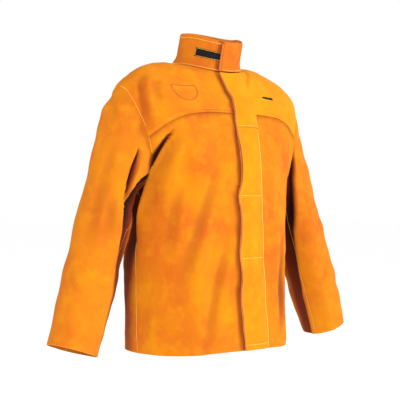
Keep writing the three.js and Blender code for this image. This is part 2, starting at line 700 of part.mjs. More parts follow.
function frontSeam(t) {
  const swung = THREE.MathUtils.smoothstep(t, FRONT_SEAM.starts, FRONT_SEAM.ends);
  return lerp(FRONT_SEAM.top, FRONT_SEAM.cuff, swung);
}

const backSeam = (t) => lerp(BACK_SEAM.top, BACK_SEAM.cuff, t / 2);
const SLEEVE_ROWS = [0.004, 0.12, 0.26, 0.42, 0.6, 0.8, 1, 1.2, 1.4, 1.6, 1.8, 2];

// The half of a sleeve between two seams, its outer face on the sleeve's surface.
function sleevePanel(side, from, to, columns) {
  const halfSeam = degrees(SEAM / 2 / CUFF_RADIUS.side);
  const place = (u, t) => onSleeve(t, lerp(from(t) + halfSeam, to(t) - halfSeam, u), side);
  return shell(steps(0, 1, columns), SLEEVE_ROWS, place, () => -HIDE_THICK, HIDE_THICK);
}

const topSleeve = (side) => sleevePanel(side, (t) => backSeam(t) - 360, frontSeam, 14);
const underSleeve = (side) => sleevePanel(side, frontSeam, backSeam, 6);

// ---------------------------------------------------------------- small pieces

// The strap arches up inside the back of the collar, its flat side towards the peg that it hangs on.
// Its crown stands off the collar by more than its feet do.
function hangerLoop() {
  const centre = (u) => {
    const x = lerp(-HANGER.half, HANGER.half, u);
    const arch = Math.sin(Math.PI * u);
    const angle = 90 - degrees(Math.asin(x / BODY[NECK].back));
    const wall = onCollar(HANGER.seat + HANGER.rise * arch, angle).point;
    return wall.setX(x).add(new THREE.Vector3(0, -HANGER.clear - HANGER.off * arch, 0));
  };
  const place = (u, v) => {
    const tangent = centre(u + STEP.loop).sub(centre(u - STEP.loop));
    const normal = new THREE.Vector3(-tangent.z, 0, tangent.x).normalize();
    return { point: centre(u).add(new THREE.Vector3(0, -v * HANGER.width, 0)), normal };
  };
  return shell(steps(0, 1, HANGER_STEPS), [0, 1], place, flat, HANGER.thick);
}

// A patch with straight sides on the body: its edges are x and z.
function patch(xEdge, left, right, low, high, lift, thick) {
  const rows = (z) => (angle) => levelWhere((p) => p.z - z, angle, ARMPIT, TOP_SEARCH);
  const place = between(xEdge(left), xEdge(right), rows(low), rows(high));
  return shell(steps(0, 1, PATCH_STEPS), steps(0, 1, PATCH_STEPS), place, () => lift, thick);
}

// A blank label inside the back yoke.
function neckLabel() {
  const { half, from, to, thick, off } = NECK_LABEL;
  const backEdge = (x) => (level) =>
    degrees(Math.acos(power(x / chart("half", level), chart("square", level) / 2)));
  return patch(backEdge, half, -half, to, from, -off - thick, thick);
}

// A plain black tag on the left of the chest.
function chestTag() {
  const { x, half, height, z, thick, off } = CHEST_TAG;
  const frontEdge = (at) => (level) => frontAngle(level, () => at);
  const low = z - height / 2;
  return patch(frontEdge, x - half, x + half, low, low + height, HIDE_THICK + off, thick);
}

// ---------------------------------------------------------------- the jacket

const jacket = new THREE.Group();

jacket.add(
  named("back_panel", backPanel(), HIDE),
  named("back_yoke", backYoke(), HIDE),
  named("right_front_panel", punched(rightFrontPanel()), HIDE),
  named("right_front_yoke", rightFrontYoke(), HIDE),
  named("left_front_panel", leftFrontPanel(), HIDE),
  named("left_front_yoke", leftFrontYoke(), HIDE),
  named("right_front_facing", punched(rightFrontFacing()), FLESH),
  named("upper_flap_facing", upperFacing(), FLESH),
  named("storm_flap", flapOuter(), HIDE),
  named("storm_flap_facing", punched(flapFacing()), FLESH),
  named("hanger_loop", hangerLoop(), HIDE),
  named("neck_label", neckLabel(), LABEL),
  named("chest_tag", chestTag(), TAPE),
);

for (const [name, make] of Object.entries(collarPieces)) {
  const material = name.includes("tape") ? TAPE : name.includes("lining") ? FLESH : HIDE;
  jacket.add(named(name, make(), material));
}

for (const [name, side] of [["right", -1], ["left", 1]]) {
  jacket.add(named(`${name}_top_sleeve`, topSleeve(side), HIDE));
  jacket.add(named(`${name}_under_sleeve`, underSleeve(side), HIDE));
}

for (let i = 0; i < SNAP_HEIGHTS.length; i++) {
  for (const kind of Object.keys(snapPieces)) jacket.add(placedSnap(kind, i));
}

export default jacket;
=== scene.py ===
"""The looks of a leather welding jacket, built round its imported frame.

Every piece of hide is a closed sheet of leather that lies on one of three surfaces: the body, a sleeve
or the collar. A surface takes two numbers and gives points. The folds, and a short cloth simulation,
move the surface, so that every layer and every stitch on it moves with them. Surfaces are worked out in
millimetres and become metres when a mesh is made. +Z is up, -Y the front, +X the wearer's left.
"""

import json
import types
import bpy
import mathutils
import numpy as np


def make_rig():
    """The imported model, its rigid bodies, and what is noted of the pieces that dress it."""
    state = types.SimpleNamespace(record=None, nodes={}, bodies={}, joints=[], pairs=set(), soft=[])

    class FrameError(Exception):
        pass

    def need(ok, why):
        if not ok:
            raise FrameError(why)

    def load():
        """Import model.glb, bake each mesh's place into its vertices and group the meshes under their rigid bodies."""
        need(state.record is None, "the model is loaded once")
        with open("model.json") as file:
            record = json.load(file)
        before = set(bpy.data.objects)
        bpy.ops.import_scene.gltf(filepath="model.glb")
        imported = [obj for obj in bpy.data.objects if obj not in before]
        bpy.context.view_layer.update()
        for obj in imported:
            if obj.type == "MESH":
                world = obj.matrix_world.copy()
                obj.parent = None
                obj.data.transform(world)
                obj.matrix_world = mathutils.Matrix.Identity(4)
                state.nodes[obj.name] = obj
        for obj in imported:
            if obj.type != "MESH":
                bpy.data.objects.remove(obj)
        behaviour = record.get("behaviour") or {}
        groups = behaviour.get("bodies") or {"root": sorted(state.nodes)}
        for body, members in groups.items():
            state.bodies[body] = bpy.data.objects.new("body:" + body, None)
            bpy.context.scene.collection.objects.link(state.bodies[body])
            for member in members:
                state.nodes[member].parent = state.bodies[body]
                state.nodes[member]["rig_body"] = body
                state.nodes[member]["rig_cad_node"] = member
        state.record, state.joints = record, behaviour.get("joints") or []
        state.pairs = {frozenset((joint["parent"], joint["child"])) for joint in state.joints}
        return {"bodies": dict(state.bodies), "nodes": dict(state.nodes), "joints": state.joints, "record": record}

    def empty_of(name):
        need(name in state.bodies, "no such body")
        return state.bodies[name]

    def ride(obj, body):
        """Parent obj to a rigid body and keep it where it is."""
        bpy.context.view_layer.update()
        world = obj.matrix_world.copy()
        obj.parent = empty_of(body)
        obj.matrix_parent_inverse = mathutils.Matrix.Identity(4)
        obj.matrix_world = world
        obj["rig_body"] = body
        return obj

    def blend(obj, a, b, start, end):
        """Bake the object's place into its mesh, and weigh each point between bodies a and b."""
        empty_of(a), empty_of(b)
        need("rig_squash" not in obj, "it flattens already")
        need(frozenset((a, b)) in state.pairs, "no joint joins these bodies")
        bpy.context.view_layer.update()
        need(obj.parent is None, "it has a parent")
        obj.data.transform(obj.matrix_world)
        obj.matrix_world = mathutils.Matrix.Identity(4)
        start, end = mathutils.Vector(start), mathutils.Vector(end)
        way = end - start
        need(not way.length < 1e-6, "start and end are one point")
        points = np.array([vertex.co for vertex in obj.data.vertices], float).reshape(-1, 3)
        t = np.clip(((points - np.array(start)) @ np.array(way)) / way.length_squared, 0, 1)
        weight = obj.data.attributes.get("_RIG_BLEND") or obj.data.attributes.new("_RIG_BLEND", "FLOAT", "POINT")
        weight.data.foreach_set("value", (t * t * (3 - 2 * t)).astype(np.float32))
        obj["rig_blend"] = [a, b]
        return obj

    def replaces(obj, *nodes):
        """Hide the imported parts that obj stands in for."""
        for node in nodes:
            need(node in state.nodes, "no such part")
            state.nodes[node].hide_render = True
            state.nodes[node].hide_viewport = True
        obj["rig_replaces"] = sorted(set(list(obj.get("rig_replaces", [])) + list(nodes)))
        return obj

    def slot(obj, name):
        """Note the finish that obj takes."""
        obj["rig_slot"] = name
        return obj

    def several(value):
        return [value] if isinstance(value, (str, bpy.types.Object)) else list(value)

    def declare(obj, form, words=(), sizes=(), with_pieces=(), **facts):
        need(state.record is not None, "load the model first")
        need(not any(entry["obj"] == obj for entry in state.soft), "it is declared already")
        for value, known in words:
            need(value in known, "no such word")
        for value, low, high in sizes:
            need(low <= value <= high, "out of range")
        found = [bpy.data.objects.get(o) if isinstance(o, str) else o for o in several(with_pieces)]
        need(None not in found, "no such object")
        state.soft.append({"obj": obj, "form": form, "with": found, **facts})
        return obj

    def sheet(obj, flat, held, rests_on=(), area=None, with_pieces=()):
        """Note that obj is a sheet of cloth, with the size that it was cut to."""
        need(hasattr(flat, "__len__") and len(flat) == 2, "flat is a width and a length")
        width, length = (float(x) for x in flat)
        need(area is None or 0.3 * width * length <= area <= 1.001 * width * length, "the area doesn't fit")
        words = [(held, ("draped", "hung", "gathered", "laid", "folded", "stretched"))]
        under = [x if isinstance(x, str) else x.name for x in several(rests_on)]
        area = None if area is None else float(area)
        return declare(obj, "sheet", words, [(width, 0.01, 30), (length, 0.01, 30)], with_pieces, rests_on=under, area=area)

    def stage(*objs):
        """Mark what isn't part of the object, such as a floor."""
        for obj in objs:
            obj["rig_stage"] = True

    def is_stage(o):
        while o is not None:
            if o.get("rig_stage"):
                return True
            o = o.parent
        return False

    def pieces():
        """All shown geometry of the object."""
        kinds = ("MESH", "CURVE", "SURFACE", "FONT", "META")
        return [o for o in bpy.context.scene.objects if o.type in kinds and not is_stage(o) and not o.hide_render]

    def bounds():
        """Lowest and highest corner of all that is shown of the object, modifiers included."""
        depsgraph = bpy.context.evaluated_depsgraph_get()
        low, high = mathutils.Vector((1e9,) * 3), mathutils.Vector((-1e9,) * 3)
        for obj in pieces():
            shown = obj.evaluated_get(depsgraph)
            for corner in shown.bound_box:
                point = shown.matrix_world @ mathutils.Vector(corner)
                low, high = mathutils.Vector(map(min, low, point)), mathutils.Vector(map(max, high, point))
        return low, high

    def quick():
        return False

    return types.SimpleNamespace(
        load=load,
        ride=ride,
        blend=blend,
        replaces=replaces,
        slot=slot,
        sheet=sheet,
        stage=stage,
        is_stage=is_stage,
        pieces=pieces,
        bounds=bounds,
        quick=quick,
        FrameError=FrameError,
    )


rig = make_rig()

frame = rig.load()
cad_low, cad_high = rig.bounds()

import json
import math
from collections import namedtuple

import bpy
import numpy as np
from mathutils import Vector

MM = 0.001

# ---------------------------------------------------------------- the camera

# The turn, shift and height were fitted to the outline in the photo by a scratch program.
CAMERA_TURN = math.radians(37.85)  # how far round to the wearer's right it stands
CAMERA_BACK = 3.0
CAMERA_ACROSS = 0.0138
CAMERA_HEIGHT = -0.372


def make_camera():
    data = bpy.data.cameras.new("camera")
    data.lens = 100
    data.sensor_width = 36
    camera = bpy.data.objects.new("camera", data)
    bpy.context.scene.collection.objects.link(camera)
    ahead = Vector((math.sin(CAMERA_TURN), math.cos(CAMERA_TURN), 0))
    aside = Vector((ahead.y, -ahead.x, 0))
    camera.location = -CAMERA_BACK * ahead - CAMERA_ACROSS * aside + Vector((0, 0, CAMERA_HEIGHT))
    camera.rotation_euler = ahead.to_track_quat("-Z", "Y").to_euler()
    bpy.context.scene.camera = camera


make_camera()

# ---------------------------------------------------------------- the jacket's sizes, in millimetres

HIDE = 1.4
LINING = 1.2
GAP = 0.5
FIT = 0.6
SEAM = 0.2  # between two panels sewn edge to edge
DROP, HALF, FRONT, BACK, FRONT_DROP, BACK_DROP, SQUARE = range(7)
# In BODY the columns DROP, HALF, FRONT and FRONT_DROP are that program's fit, smoothed and rounded by
# hand, and so are the sleeves' centres and radii and the armhole's opening. The others were chosen.
BODY = np.array([
    [766, 230, 171, 150, 0, 0, 2.3],  # hem
    [615, 232, 165, 146, 4, 0, 2.3],  # hip
    [480, 234, 161, 142, 4, 0, 2.3],  # waist
    [335, 236, 158, 138, 0, 4, 2.4],  # armpit
    [225, 264, 152, 132, 14, 10, 2.5],  # chest
    [86, 280, 130, 112, 44, 28, 2.4],  # shoulder point
    [18, 180, 106, 96, 72, 10, 2.2],  # shoulder
    [14, 90, 88, 80, 22, -18, 2.0],  # neck
], float)
ARMPIT, SHOULDER_POINT, NECK = 3, 5, 7
ARMHOLE_OPENING = 27
ARMHOLE_ROUNDNESS = 2.4

YOKE_DROP, YOKE_SWEEP, YOKE_REACH, YOKE_CURVE = 148, 62, 240, 4.5
BACK_YOKE_DROP, BACK_YOKE_SWEEP = 172, 30
YOKE_LAP = 12  # the panel below runs on under the yoke by this much
FLAP_TOP = 184
FLAP_ROOM = 0.6  # the flap starts this far below the yoke's end
STITCH_X = (64, 92)  # the flap's sewn edge, at the yoke seam and at the hem
FREE_X = (-20, -2)  # its free edge

COLLAR_HEIGHT, COLLAR_TAPER, COLLAR_LEAN = 78.5, 10, 23
COLLAR_RIGHT_END, TAB_HINGE, TAB_FREE = -62, -28, -104.5
TAB_RISE_OVER = 27
TAPE_BAND = (27.5, 50.0)

BICEPS = np.array([330, 0, -440.0])
CUFF = np.array([432, -10, -741.0])
BICEPS_RADIUS = (70, 78)
CUFF_RADIUS = (57, 65)

SNAP_HEIGHTS = (-262, -428, -596)
SNAP_ACROSS = 0.54

# ---------------------------------------------------------------- small helpers

Place = namedtuple("Place", "point normal shade")


def smooth(x):
    x = np.clip(x, 0, 1)
    return x * x * (3 - 2 * x)


def lerp(a, b, t):
    return a + (b - a) * t


def power(x, p):
    return np.sign(x) * np.abs(x) ** p


def unit(vectors):
    return vectors / np.maximum(np.linalg.norm(vectors, axis=-1, keepdims=True), 1e-9)


def cos(angle):
    return np.cos(np.radians(angle))


def sin(angle):
    return np.sin(np.radians(angle))


def curve_through(knots, x):
    """A smooth curve through a few (x, y) knots, level at each end."""
    xs, ys = np.array(knots, float).T
    slopes = np.gradient(ys, xs)
    slopes[[0, -1]] = 0
    i = np.clip(np.searchsorted(xs, x) - 1, 0, len(xs) - 2)
    wide = xs[i + 1] - xs[i]
    t = np.clip((x - xs[i]) / wide, 0, 1)
    ends = (2 * t**3 - 3 * t**2 + 1) * ys[i] + (3 * t**2 - 2 * t**3) * ys[i + 1]
    return ends + wide * ((t**3 - 2 * t**2 + t) * slopes[i] + (t**3 - t**2) * slopes[i + 1])


def wobble(points, size, seed, stretch=(1, 1, 1)):
    """A smooth random field, about -1 to 1, with bumps about size apart. stretch below 1 draws them out."""
    random = np.random.default_rng(seed)
    waves = 14
    field = 0
    for _ in range(waves):
        direction = unit(random.normal(size=3)) * np.array(stretch)
        turns = random.uniform(0.6, 1.4) / size
        field = field + np.sin(2 * math.pi * (points @ direction * turns + random.uniform()))
    return field / math.sqrt(waves)


def stations(length, pitch, tight=(1, 1), close=(0, 0.8, 2.2, 4.2)):
    """Distances from 0 to length, pitch apart, and closer at the ends that are tight."""
    first = close if tight[0] else (0,)
    last = close if tight[1] else (0,)
    a, b = first[-1], length - last[-1]
    middle = np.linspace(a, b, max(2, round((b - a) / pitch) + 1))
    return np.concatenate([first[:-1], middle, length - np.array(last[:-1][::-1])])


# ---------------------------------------------------------------- the body's surface


def chart(column, level):
    """One column of the body's table at any level, with a smooth curve through its rows."""
    last = len(BODY) - 1
    i = np.clip(np.floor(level).astype(int), 0, last - 1)
    t = level - i
    values = BODY[:, column]
    a, b = values[i], values[i + 1]
    slope_a = np.where(i > 0, (b - values[np.maximum(i - 1, 0)]) / 2, b - a)
    slope_b = np.where(i < last - 1, (values[np.minimum(i + 2, last)] - a) / 2, b - a)
    ends = (2 * t**3 - 3 * t**2 + 1) * a + (3 * t**2 - 2 * t**3) * b
    return ends + (t**3 - 2 * t**2 + t) * slope_a + (t**3 - t**2) * slope_b


def body(level, angle):
    """Points of the body. The angle goes round it: 0 is the left side, -90 the front, 90 the back."""
    level, angle = np.broadcast_arrays(np.asarray(level, float), np.asarray(angle, float))
    share = 2 / chart(SQUARE, level)
    across = power(cos(angle), share)
    along = power(sin(angle), share)
    front = along < 0
    depth = np.where(front, chart(FRONT, level), chart(BACK, level))
    drop = np.where(front, chart(FRONT_DROP, level), chart(BACK_DROP, level)) * np.abs(along) ** 1.6
    return np.stack([chart(HALF, level) * across, depth * along, -chart(DROP, level) - drop], -1)


def body_normal(level, angle):
    round_it = body(level, angle + 1) - body(level, angle - 1)
    up_it = body(level + 0.02, angle) - body(level - 0.02, angle)
    return unit(np.cross(round_it, up_it))


LEVELS = np.linspace(0, NECK, 2801)
ANGLES = np.linspace(-300, 120, 1681)


def seam_line(height, below=0, low=2.4, high=6.9):
    """The level, for any angle, at which the body is `below` millimetres under height(points)."""
    a = np.full(ANGLES.shape, float(low))
    b = np.full(ANGLES.shape, float(high))
    for _ in range(26):
        middle = (a + b) / 2
        points = body(middle, ANGLES)
        under = points[:, 2] - height(points) + below < 0
        a = np.where(under, middle, a)
        b = np.where(under, b, middle)
    return lambda angle: np.interp(angle, ANGLES, (a + b) / 2)


def front_edge(x_at):
    """The angle, for any level, of the front point whose x is x_at(its height)."""
    angle = np.full(LEVELS.shape, -90.0)
    for _ in range(8):
        share = x_at(body(LEVELS, angle)[:, 2]) / chart(HALF, LEVELS)
        angle = -np.degrees(np.arccos(np.clip(power(share, chart(SQUARE, LEVELS) / 2), -1, 1)))
    return lambda level: np.interp(level, LEVELS, angle)


def armhole_opening(level):
    share = np.abs(2 * (level - ARMPIT) / (SHOULDER_POINT - ARMPIT) - 1)
    return ARMHOLE_OPENING * np.sqrt(np.maximum(0, 1 - share**ARMHOLE_ROUNDNESS))


def degrees_for(length, level, angle):
    return length / np.linalg.norm(body(level, angle + 0.5) - body(level, angle - 0.5), axis=-1)


def yoke_seam(points):
    return -YOKE_DROP - YOKE_SWEEP * (np.abs(points[:, 0]) / YOKE_REACH) ** YOKE_CURVE


def back_yoke_seam(points):
    return -BACK_YOKE_DROP - BACK_YOKE_SWEEP * (points[:, 0] / YOKE_REACH) ** 2


def left_front_side(level):
    return -armhole_opening(level) - degrees_for(SEAM / 2, level, 0)


def right_front_side(level):
    return -180 - left_front_side(level)


def left_back_side(level):
    return armhole_opening(level) + degrees_for(SEAM / 2, level, 0)


def right_back_side(level):
    return 180 - left_back_side(level)


# ---------------------------------------------------------------- folds

# A fold is a list of places along it, written downward: two surface numbers, its width on the picture's
# right and on its left, its depth, and how far the leather on its right stands up. Where both widths are
# the same, one is left out. A depth below 0 is a swelling. Each fold paints shade into the leather's colour.
# A seventh number is how dark that painted shade is, 0 to 1, where it isn't simply what its depth gives.
# Where the photo shows a fold, its first two numbers follow what a scratch program worked out from places
# read off the photo.
# They were not chosen by hand. Widths, depths, lips and darkness were chosen.
BODY_FOLDS = [
    # The deep fold from the chest down to the underarm, where the panel doubles over itself.
    # Its lower rows, with little or no depth, paint the sleeve's shadow down the near side to the hem.
    [(4.34, -129, 2.5, 2.5, 0, 0), (4.22, -133.5, 3, 4, 13, 2), (4.03, -140.5, 3.2, 6, 21, 4),
     (3.6, -153, 3.6, 10, 27, 7), (3.2, -164.5, 4, 17, 28, 7), (2.91, -171, 5, 24, 28, 6),
     (2.56, -177, 6, 30, 27, 5), (2.3, -181, 14, 34, 24, 3, 1.0), (2.04, -184, 20, 36, 17, 1, 0.9),
     (1.75, -189, 27, 28, 10, 0, 0.72), (1.4, -193.5, 34, 22, 4, 0, 0.6), (1.06, -197, 38, 18, 0, 0, 0.52),
     (0.5, -199, 38, 16, 0, 0, 0.44), (0.02, -200, 36, 14, 0, 0, 0.36)],
    # Its wider hollow on the chest side.
    [(4.4, -124, 16, 0, 0), (4.1, -130, 20, 6, 0), (3.6, -144, 24, 7, 0), (3.0, -158, 26, 5, 0),
     (2.5, -166, 28, 0, 0)],
    # Two soft folds that run from the chest towards the side.
    [(3.5, -102, 12, 0, 0), (3.12, -107, 14, 5, 3), (2.48, -117, 16, 7, 3), (1.89, -126, 17, 6, 2),
     (1.3, -133, 20, 3, 0), (0.8, -137, 20, 0, 0)],
    [(2.4, -96, 10, 0, 0), (2.0, -99, 11, 4.5, 2), (1.3, -106, 13, 7, 3), (0.6, -112, 15, 6, 2),
     (0.1, -117, 16, 4, 0)],
    # A short one between them.
    [(3.0, -134, 10, 0, 0), (2.7, -138, 12, 3.5, 1), (2.2, -142, 14, 4, 1), (1.7, -145, 14, 0, 0)],
    # The yoke's folds beside the near armhole.
    [(5.6, -166, 9, 0, 0), (5.35, -162, 10, 4.5, 2), (5.0, -153, 11, 7, 3), (4.66, -150, 11, 7, 3),
     (4.36, -151, 12, 4, 1), (4.2, -152, 12, 0, 0)],
    [(5.6, -151, 9, 0, 0), (5.35, -147, 10, 4, 1), (5.0, -140, 11, 4.5, 1), (4.7, -136, 12, 0, 0)],
    # A pleat at the neck, left of the tab.
    [(6.85, -22, 4, 0, 0), (6.72, -32, 4, 4, 2), (6.4, -61, 5, 4, 2), (6.1, -66, 8, 0, 0)],
    # The far side under the arm, and its waist.
    [(3.4, -36, 8, 0, 0), (3.1, -29, 10, 12, 3), (2.8, -19, 12, 14, 3), (2.4, -10, 14, 9, 1),
     (1.8, -4, 20, 0, 0)],
    [(2.3, -46, 20, 0, 0), (1.6, -46, 26, 9, 0), (1.0, -48, 30, 12, 0), (0.5, -50, 28, 7, 0),
     (0.1, -52, 26, 0, 0)],
    # The near side bellies out low down.
    [(2.0, -193, 26, 0, 0), (1.6, -195, 30, -8, 0), (1.0, -196, 30, -5, 0), (0.5, -196, 30, 0, 0)],
    # The back: two long folds from the shoulder blades, and one under each arm.
    [(4.3, 48, 12, 0, 0), (3.6, 55, 15, 7, 3), (2.7, 60, 18, 8, 3), (1.6, 62, 20, 5, 1), (0.4, 60, 24, 2, 0)],
    [(4.3, 132, 12, 0, 0), (3.5, 124, 15, 7, 3), (2.5, 117, 18, 7, 3), (1.4, 120, 20, 5, 1),
     (0.3, 123, 24, 2, 0)],
    [(3.1, 152, 8, 0, 0), (2.8, 160, 11, 11, 3), (2.5, 166, 14, 8, 2), (1.9, 168, 18, 0, 0)],
    [(3.1, 28, 8, 0, 0), (2.8, 20, 11, 11, 3), (2.5, 14, 14, 8, 2), (1.9, 12, 18, 0, 0)],
]

# The same on a sleeve, in t down the sleeve and its turn: 0 outside, 90 front, 180 inside.
RIGHT_SLEEVE_FOLDS = [
    # A sliver of a fold in front of the armhole's lower half.
    [(0.17, 81, 4, 4, 0, 0), (0.23, 80, 5, 4.5, 12, 1), (0.33, 79.5, 7, 5, 20, 1), (0.45, 80, 8, 5, 21, 1),
     (0.55, 82, 7, 5, 18, 1), (0.64, 84, 6, 5, 12, 0, 0.5), (0.78, 88, 6, 5, 0, 0)],
    # The sleeve's inside doubles under below it.
    # It paints deep shade, near black, in the hollow between sleeve and body, and its lower rows paint shade with no
    # depth down the sleeve's inside.
    [(0.06, 126, 20, 5, 0, 0, 0.5), (0.15, 119, 28, 5, 3, 0, 0.9), (0.23, 112, 38, 5, 12, 0, 1.0),
     (0.34, 105, 50, 6, 22, 0, 1.0), (0.47, 99, 60, 6, 26, 0, 1.0), (0.63, 95, 66, 6, 28, 0, 1.0),
     (0.75, 94, 66, 6, 28, 0, 1.0), (0.85, 99, 60, 7, 26, 0, 1.0),
     (0.97, 105, 52, 8, 20, 0, 0.92), (1.09, 112, 42, 9, 13, 0, 0.82),
     (1.24, 120, 38, 10, 6, 0, 0.75), (1.4, 127, 34, 10, 0, 0, 0.65), (1.6, 134, 30, 9, 0, 0, 0.5),
     (1.95, 142, 24, 8, 0, 0, 0.35)],
    [(0.05, -4, 12, 0, 0), (0.14, 4, 14, 4, 2), (0.24, 14, 16, 0, 0)],
    [(0.72, 58, 12, 0, 0), (0.86, 62, 14, 5, 2), (1.0, 66, 16, 5, 2), (1.14, 64, 18, 0, 0)],
    [(1.45, 6, 8, 0, 0), (1.52, 26, 9, 3.5, 2), (1.58, 52, 10, 0, 0)],
    [(0.35, 30, 12, 0, 0), (0.6, 36, 16, 4, 1), (0.95, 34, 18, 4.5, 1), (1.2, 28, 18, 0, 0)],
    [(0.3, -55, 14, 0, 0), (0.6, -62, 16, 5, 2), (1.0, -66, 18, 0, 0)],
    [(0.9, -120, 12, 0, 0), (1.05, -100, 14, 7, 3), (1.15, -70, 16, 0, 0)],
    # Its cap and its lower inside are fuller.
    [(0.03, -30, 30, 0, 0), (0.1, -32, 36, -8, 0), (0.25, -35, 36, -7, 0), (0.5, -38, 34, -3, 0),
     (0.8, -40, 30, 0, 0)],
    [(1.25, 142, 24, 0, 0), (1.5, 142, 28, -6, 0), (1.8, 142, 30, -8, 0), (2.0, 142, 30, -9, 0)],
]
LEFT_SLEEVE_FOLDS = [
    # The front of the sleeve turns sharply under, from the armhole to the cuff.
    # It paints deep shade over the sleeve's inner side, darkest near the armhole.
    [(0.05, 82, 3, 4, 0, 0), (0.12, 95, 4, 9, 12, 2, 0.8), (0.22, 116, 5, 18, 22, 3, 1.0),
     (0.48, 130, 7, 32, 26, 4, 1.0), (0.73, 138, 8, 40, 24, 4, 1.0), (0.95, 147, 9, 44, 20, 3, 0.92),
     (1.18, 157, 9, 46, 17, 2, 0.85), (1.35, 163, 9, 46, 14, 1, 0.8), (1.55, 170, 9, 44, 11, 0, 0.74),
     (1.77, 175, 9, 42, 8, 0, 0.7), (2.0, 178, 9, 40, 5, 0, 0.66)],
    [(0.9, 214, 30, 0, 0), (1.15, 212, 36, 10, 0, 0), (1.4, 212, 38, 17, 0, 0), (1.65, 212, 34, 13, 0, 0),
     (1.85, 212, 30, 4, 0, 0), (2.0, 212, 30, 0, 0)],
    [(0.95, 40, 12, 0, 0), (1.05, 62, 14, 4, 2), (1.12, 88, 16, 0, 0)],
    [(1.4, 70, 10, 0, 0), (1.5, 96, 12, 4.5, 2), (1.56, 126, 14, 0, 0)],
    [(0.3, -55, 14, 0, 0), (0.6, -62, 16, 5, 2), (1.0, -66, 18, 0, 0)],
    [(0.95, -120, 12, 0, 0), (1.08, -95, 14, 7, 3), (1.18, -70, 16, 0, 0)],
    [(0.9, 38, 30, 0, 0), (1.3, 38, 34, -7, 0), (1.7, 38, 34, -8, 0), (1.97, 38, 30, -3, 0)],
]
FOLD_STEPS = 7


def fold_path(rows):
    """A fold's few places drawn out into a smooth line of them."""
    rows = [row if len(row) > 5 else (*row[:3], *row[2:]) for row in rows]
    rows = [row if len(row) > 6 else (*row, np.clip(row[4] / 24, 0, 1) ** 1.3) for row in rows]
    rows = np.array(rows, float)
    along = np.arange(len(rows))
    fine = np.linspace(0, len(rows) - 1, (len(rows) - 1) * FOLD_STEPS + 1)
    return np.stack([curve_through(np.stack([along, column], 1), fine) for column in rows.T], 1)


def fold(surface, rows, points, normals):
    """How far one fold moves the points outward, and how deep in its shade each lies, 0 to 1."""
    path = fold_path(rows)
    line = surface(path[:, 0], path[:, 1])
    nearest = np.full(len(points), 1e9)
    found = np.zeros((len(points), 6))
    for a, b, here, there in zip(line, line[1:], path[:, 2:], path[1:, 2:]):
        step = b - a
        t = np.clip((points - a) @ step / max(step @ step, 1e-6), 0, 1)
        away = points - a - t[:, None] * step
        distance = np.linalg.norm(away, axis=1)
        closer = distance < nearest
        hand = np.sign(np.einsum("ij,ij->i", np.cross(step, away), normals))
        values = lerp(here, there, t[:, None])
        found[closer] = np.column_stack([values, hand])[closer]
        nearest = np.where(closer, distance, nearest)
    width_right, width_left, depth, lip, dark, hand = found.T
    x = nearest / np.maximum(np.where(hand > 0, width_right, width_left), 1)
    valley = -depth * np.exp(-(x**2.6))
    ridge = lip * (hand > 0) * np.exp(-(((nearest - width_right - 8) / 8) ** 2))
    return valley + ridge, dark * np.exp(-(x**3))


def folds(surface, rows_of_each, point, normal):
    points, normals = point.reshape(-1, 3), normal.reshape(-1, 3)
    lift, shade = np.zeros(len(points)), np.zeros(len(points))
    for rows in rows_of_each:
        moved, dark = fold(surface, rows, points, normals)
        lift += moved
        shade = np.maximum(shade, dark)
    return lift.reshape(point.shape[:-1]), shade.reshape(point.shape[:-1])


# ---------------------------------------------------------------- the drape, by cloth simulation

SIM_FRAMES = 36
SIM_SLACK = 0.03  # how much larger the leather is cut than the shape that it hangs in
SIM_CAP = 5.5  # millimetres: wrinkles past it are pressed back
SLEEVE_SIM_CAP = 2.6


def drape(points, pins, cap):
    """A tube of leather, rows by columns of points, hung by its pins. How far it wrinkles outward, at each
    point, in millimetres."""
    rows, columns = points.shape[:2]
    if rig.quick():
        return np.zeros((rows, columns))
    index = np.arange(rows * columns).reshape(rows, columns)
    after = np.roll(index, -1, axis=1)
    faces = np.stack([index[:-1], after[:-1], after[1:], index[1:]], -1).reshape(-1, 4)
    mesh = bpy.data.meshes.new("drape")
    mesh.from_pydata((points.reshape(-1, 3) * MM).tolist(), [], faces.tolist())
    cloth = bpy.data.objects.new("drape", mesh)
    bpy.context.scene.collection.objects.link(cloth)
    group = cloth.vertex_groups.new(name="pins")
    for row, weight in zip(index, pins):
        group.add(row.tolist(), float(weight), "REPLACE")
    modifier = cloth.modifiers.new("cloth", "CLOTH")
    settings = modifier.settings
    settings.quality = 6
    settings.mass = 0.5
    settings.tension_stiffness = 60
    settings.compression_stiffness = 60
    settings.shear_stiffness = 30
    settings.bending_stiffness = 6
    settings.vertex_group_mass = "pins"
    settings.shrink_min = -SIM_SLACK
    modifier.collision_settings.use_collision = False
    modifier.point_cache.frame_start = 1
    modifier.point_cache.frame_end = SIM_FRAMES
    for step in range(1, SIM_FRAMES + 1):
        bpy.context.scene.frame_set(step)
    settled = cloth.evaluated_get(bpy.context.evaluated_depsgraph_get())
    co = np.zeros(rows * columns * 3, np.float32)
    settled.data.vertices.foreach_get("co", co)
    bpy.context.scene.frame_set(1)
    bpy.data.objects.remove(cloth)
    moved = co.reshape(points.shape) / MM - points
    normal = unit(points - points.mean(axis=1, keepdims=True))
    outward = (moved * normal).sum(-1)
    outward -= outward.mean(axis=1, keepdims=True)
    return cap * np.tanh(outward / cap)


def sampler(grid, rows, first, turn):
    """Looks a drape's grid up at any place: rows are the rows' own numbers, and columns go round."""
    count = grid.shape[1]

    def at(u, angle):
        i = np.clip(np.interp(u, rows, np.arange(len(rows))), 0, len(rows) - 1.001)
        j = ((angle - first) / turn) * count % count
        i0, j0 = np.floor(i).astype(int), np.floor(j).astype(int) % count
        s, t = i - i0, j - np.floor(j)
        j1 = (j0 + 1) % count
        upper = lerp(grid[i0 + 1, j0], grid[i0 + 1, j1], t)
        return lerp(lerp(grid[i0, j0], grid[i0, j1], t), upper, s)

    return at


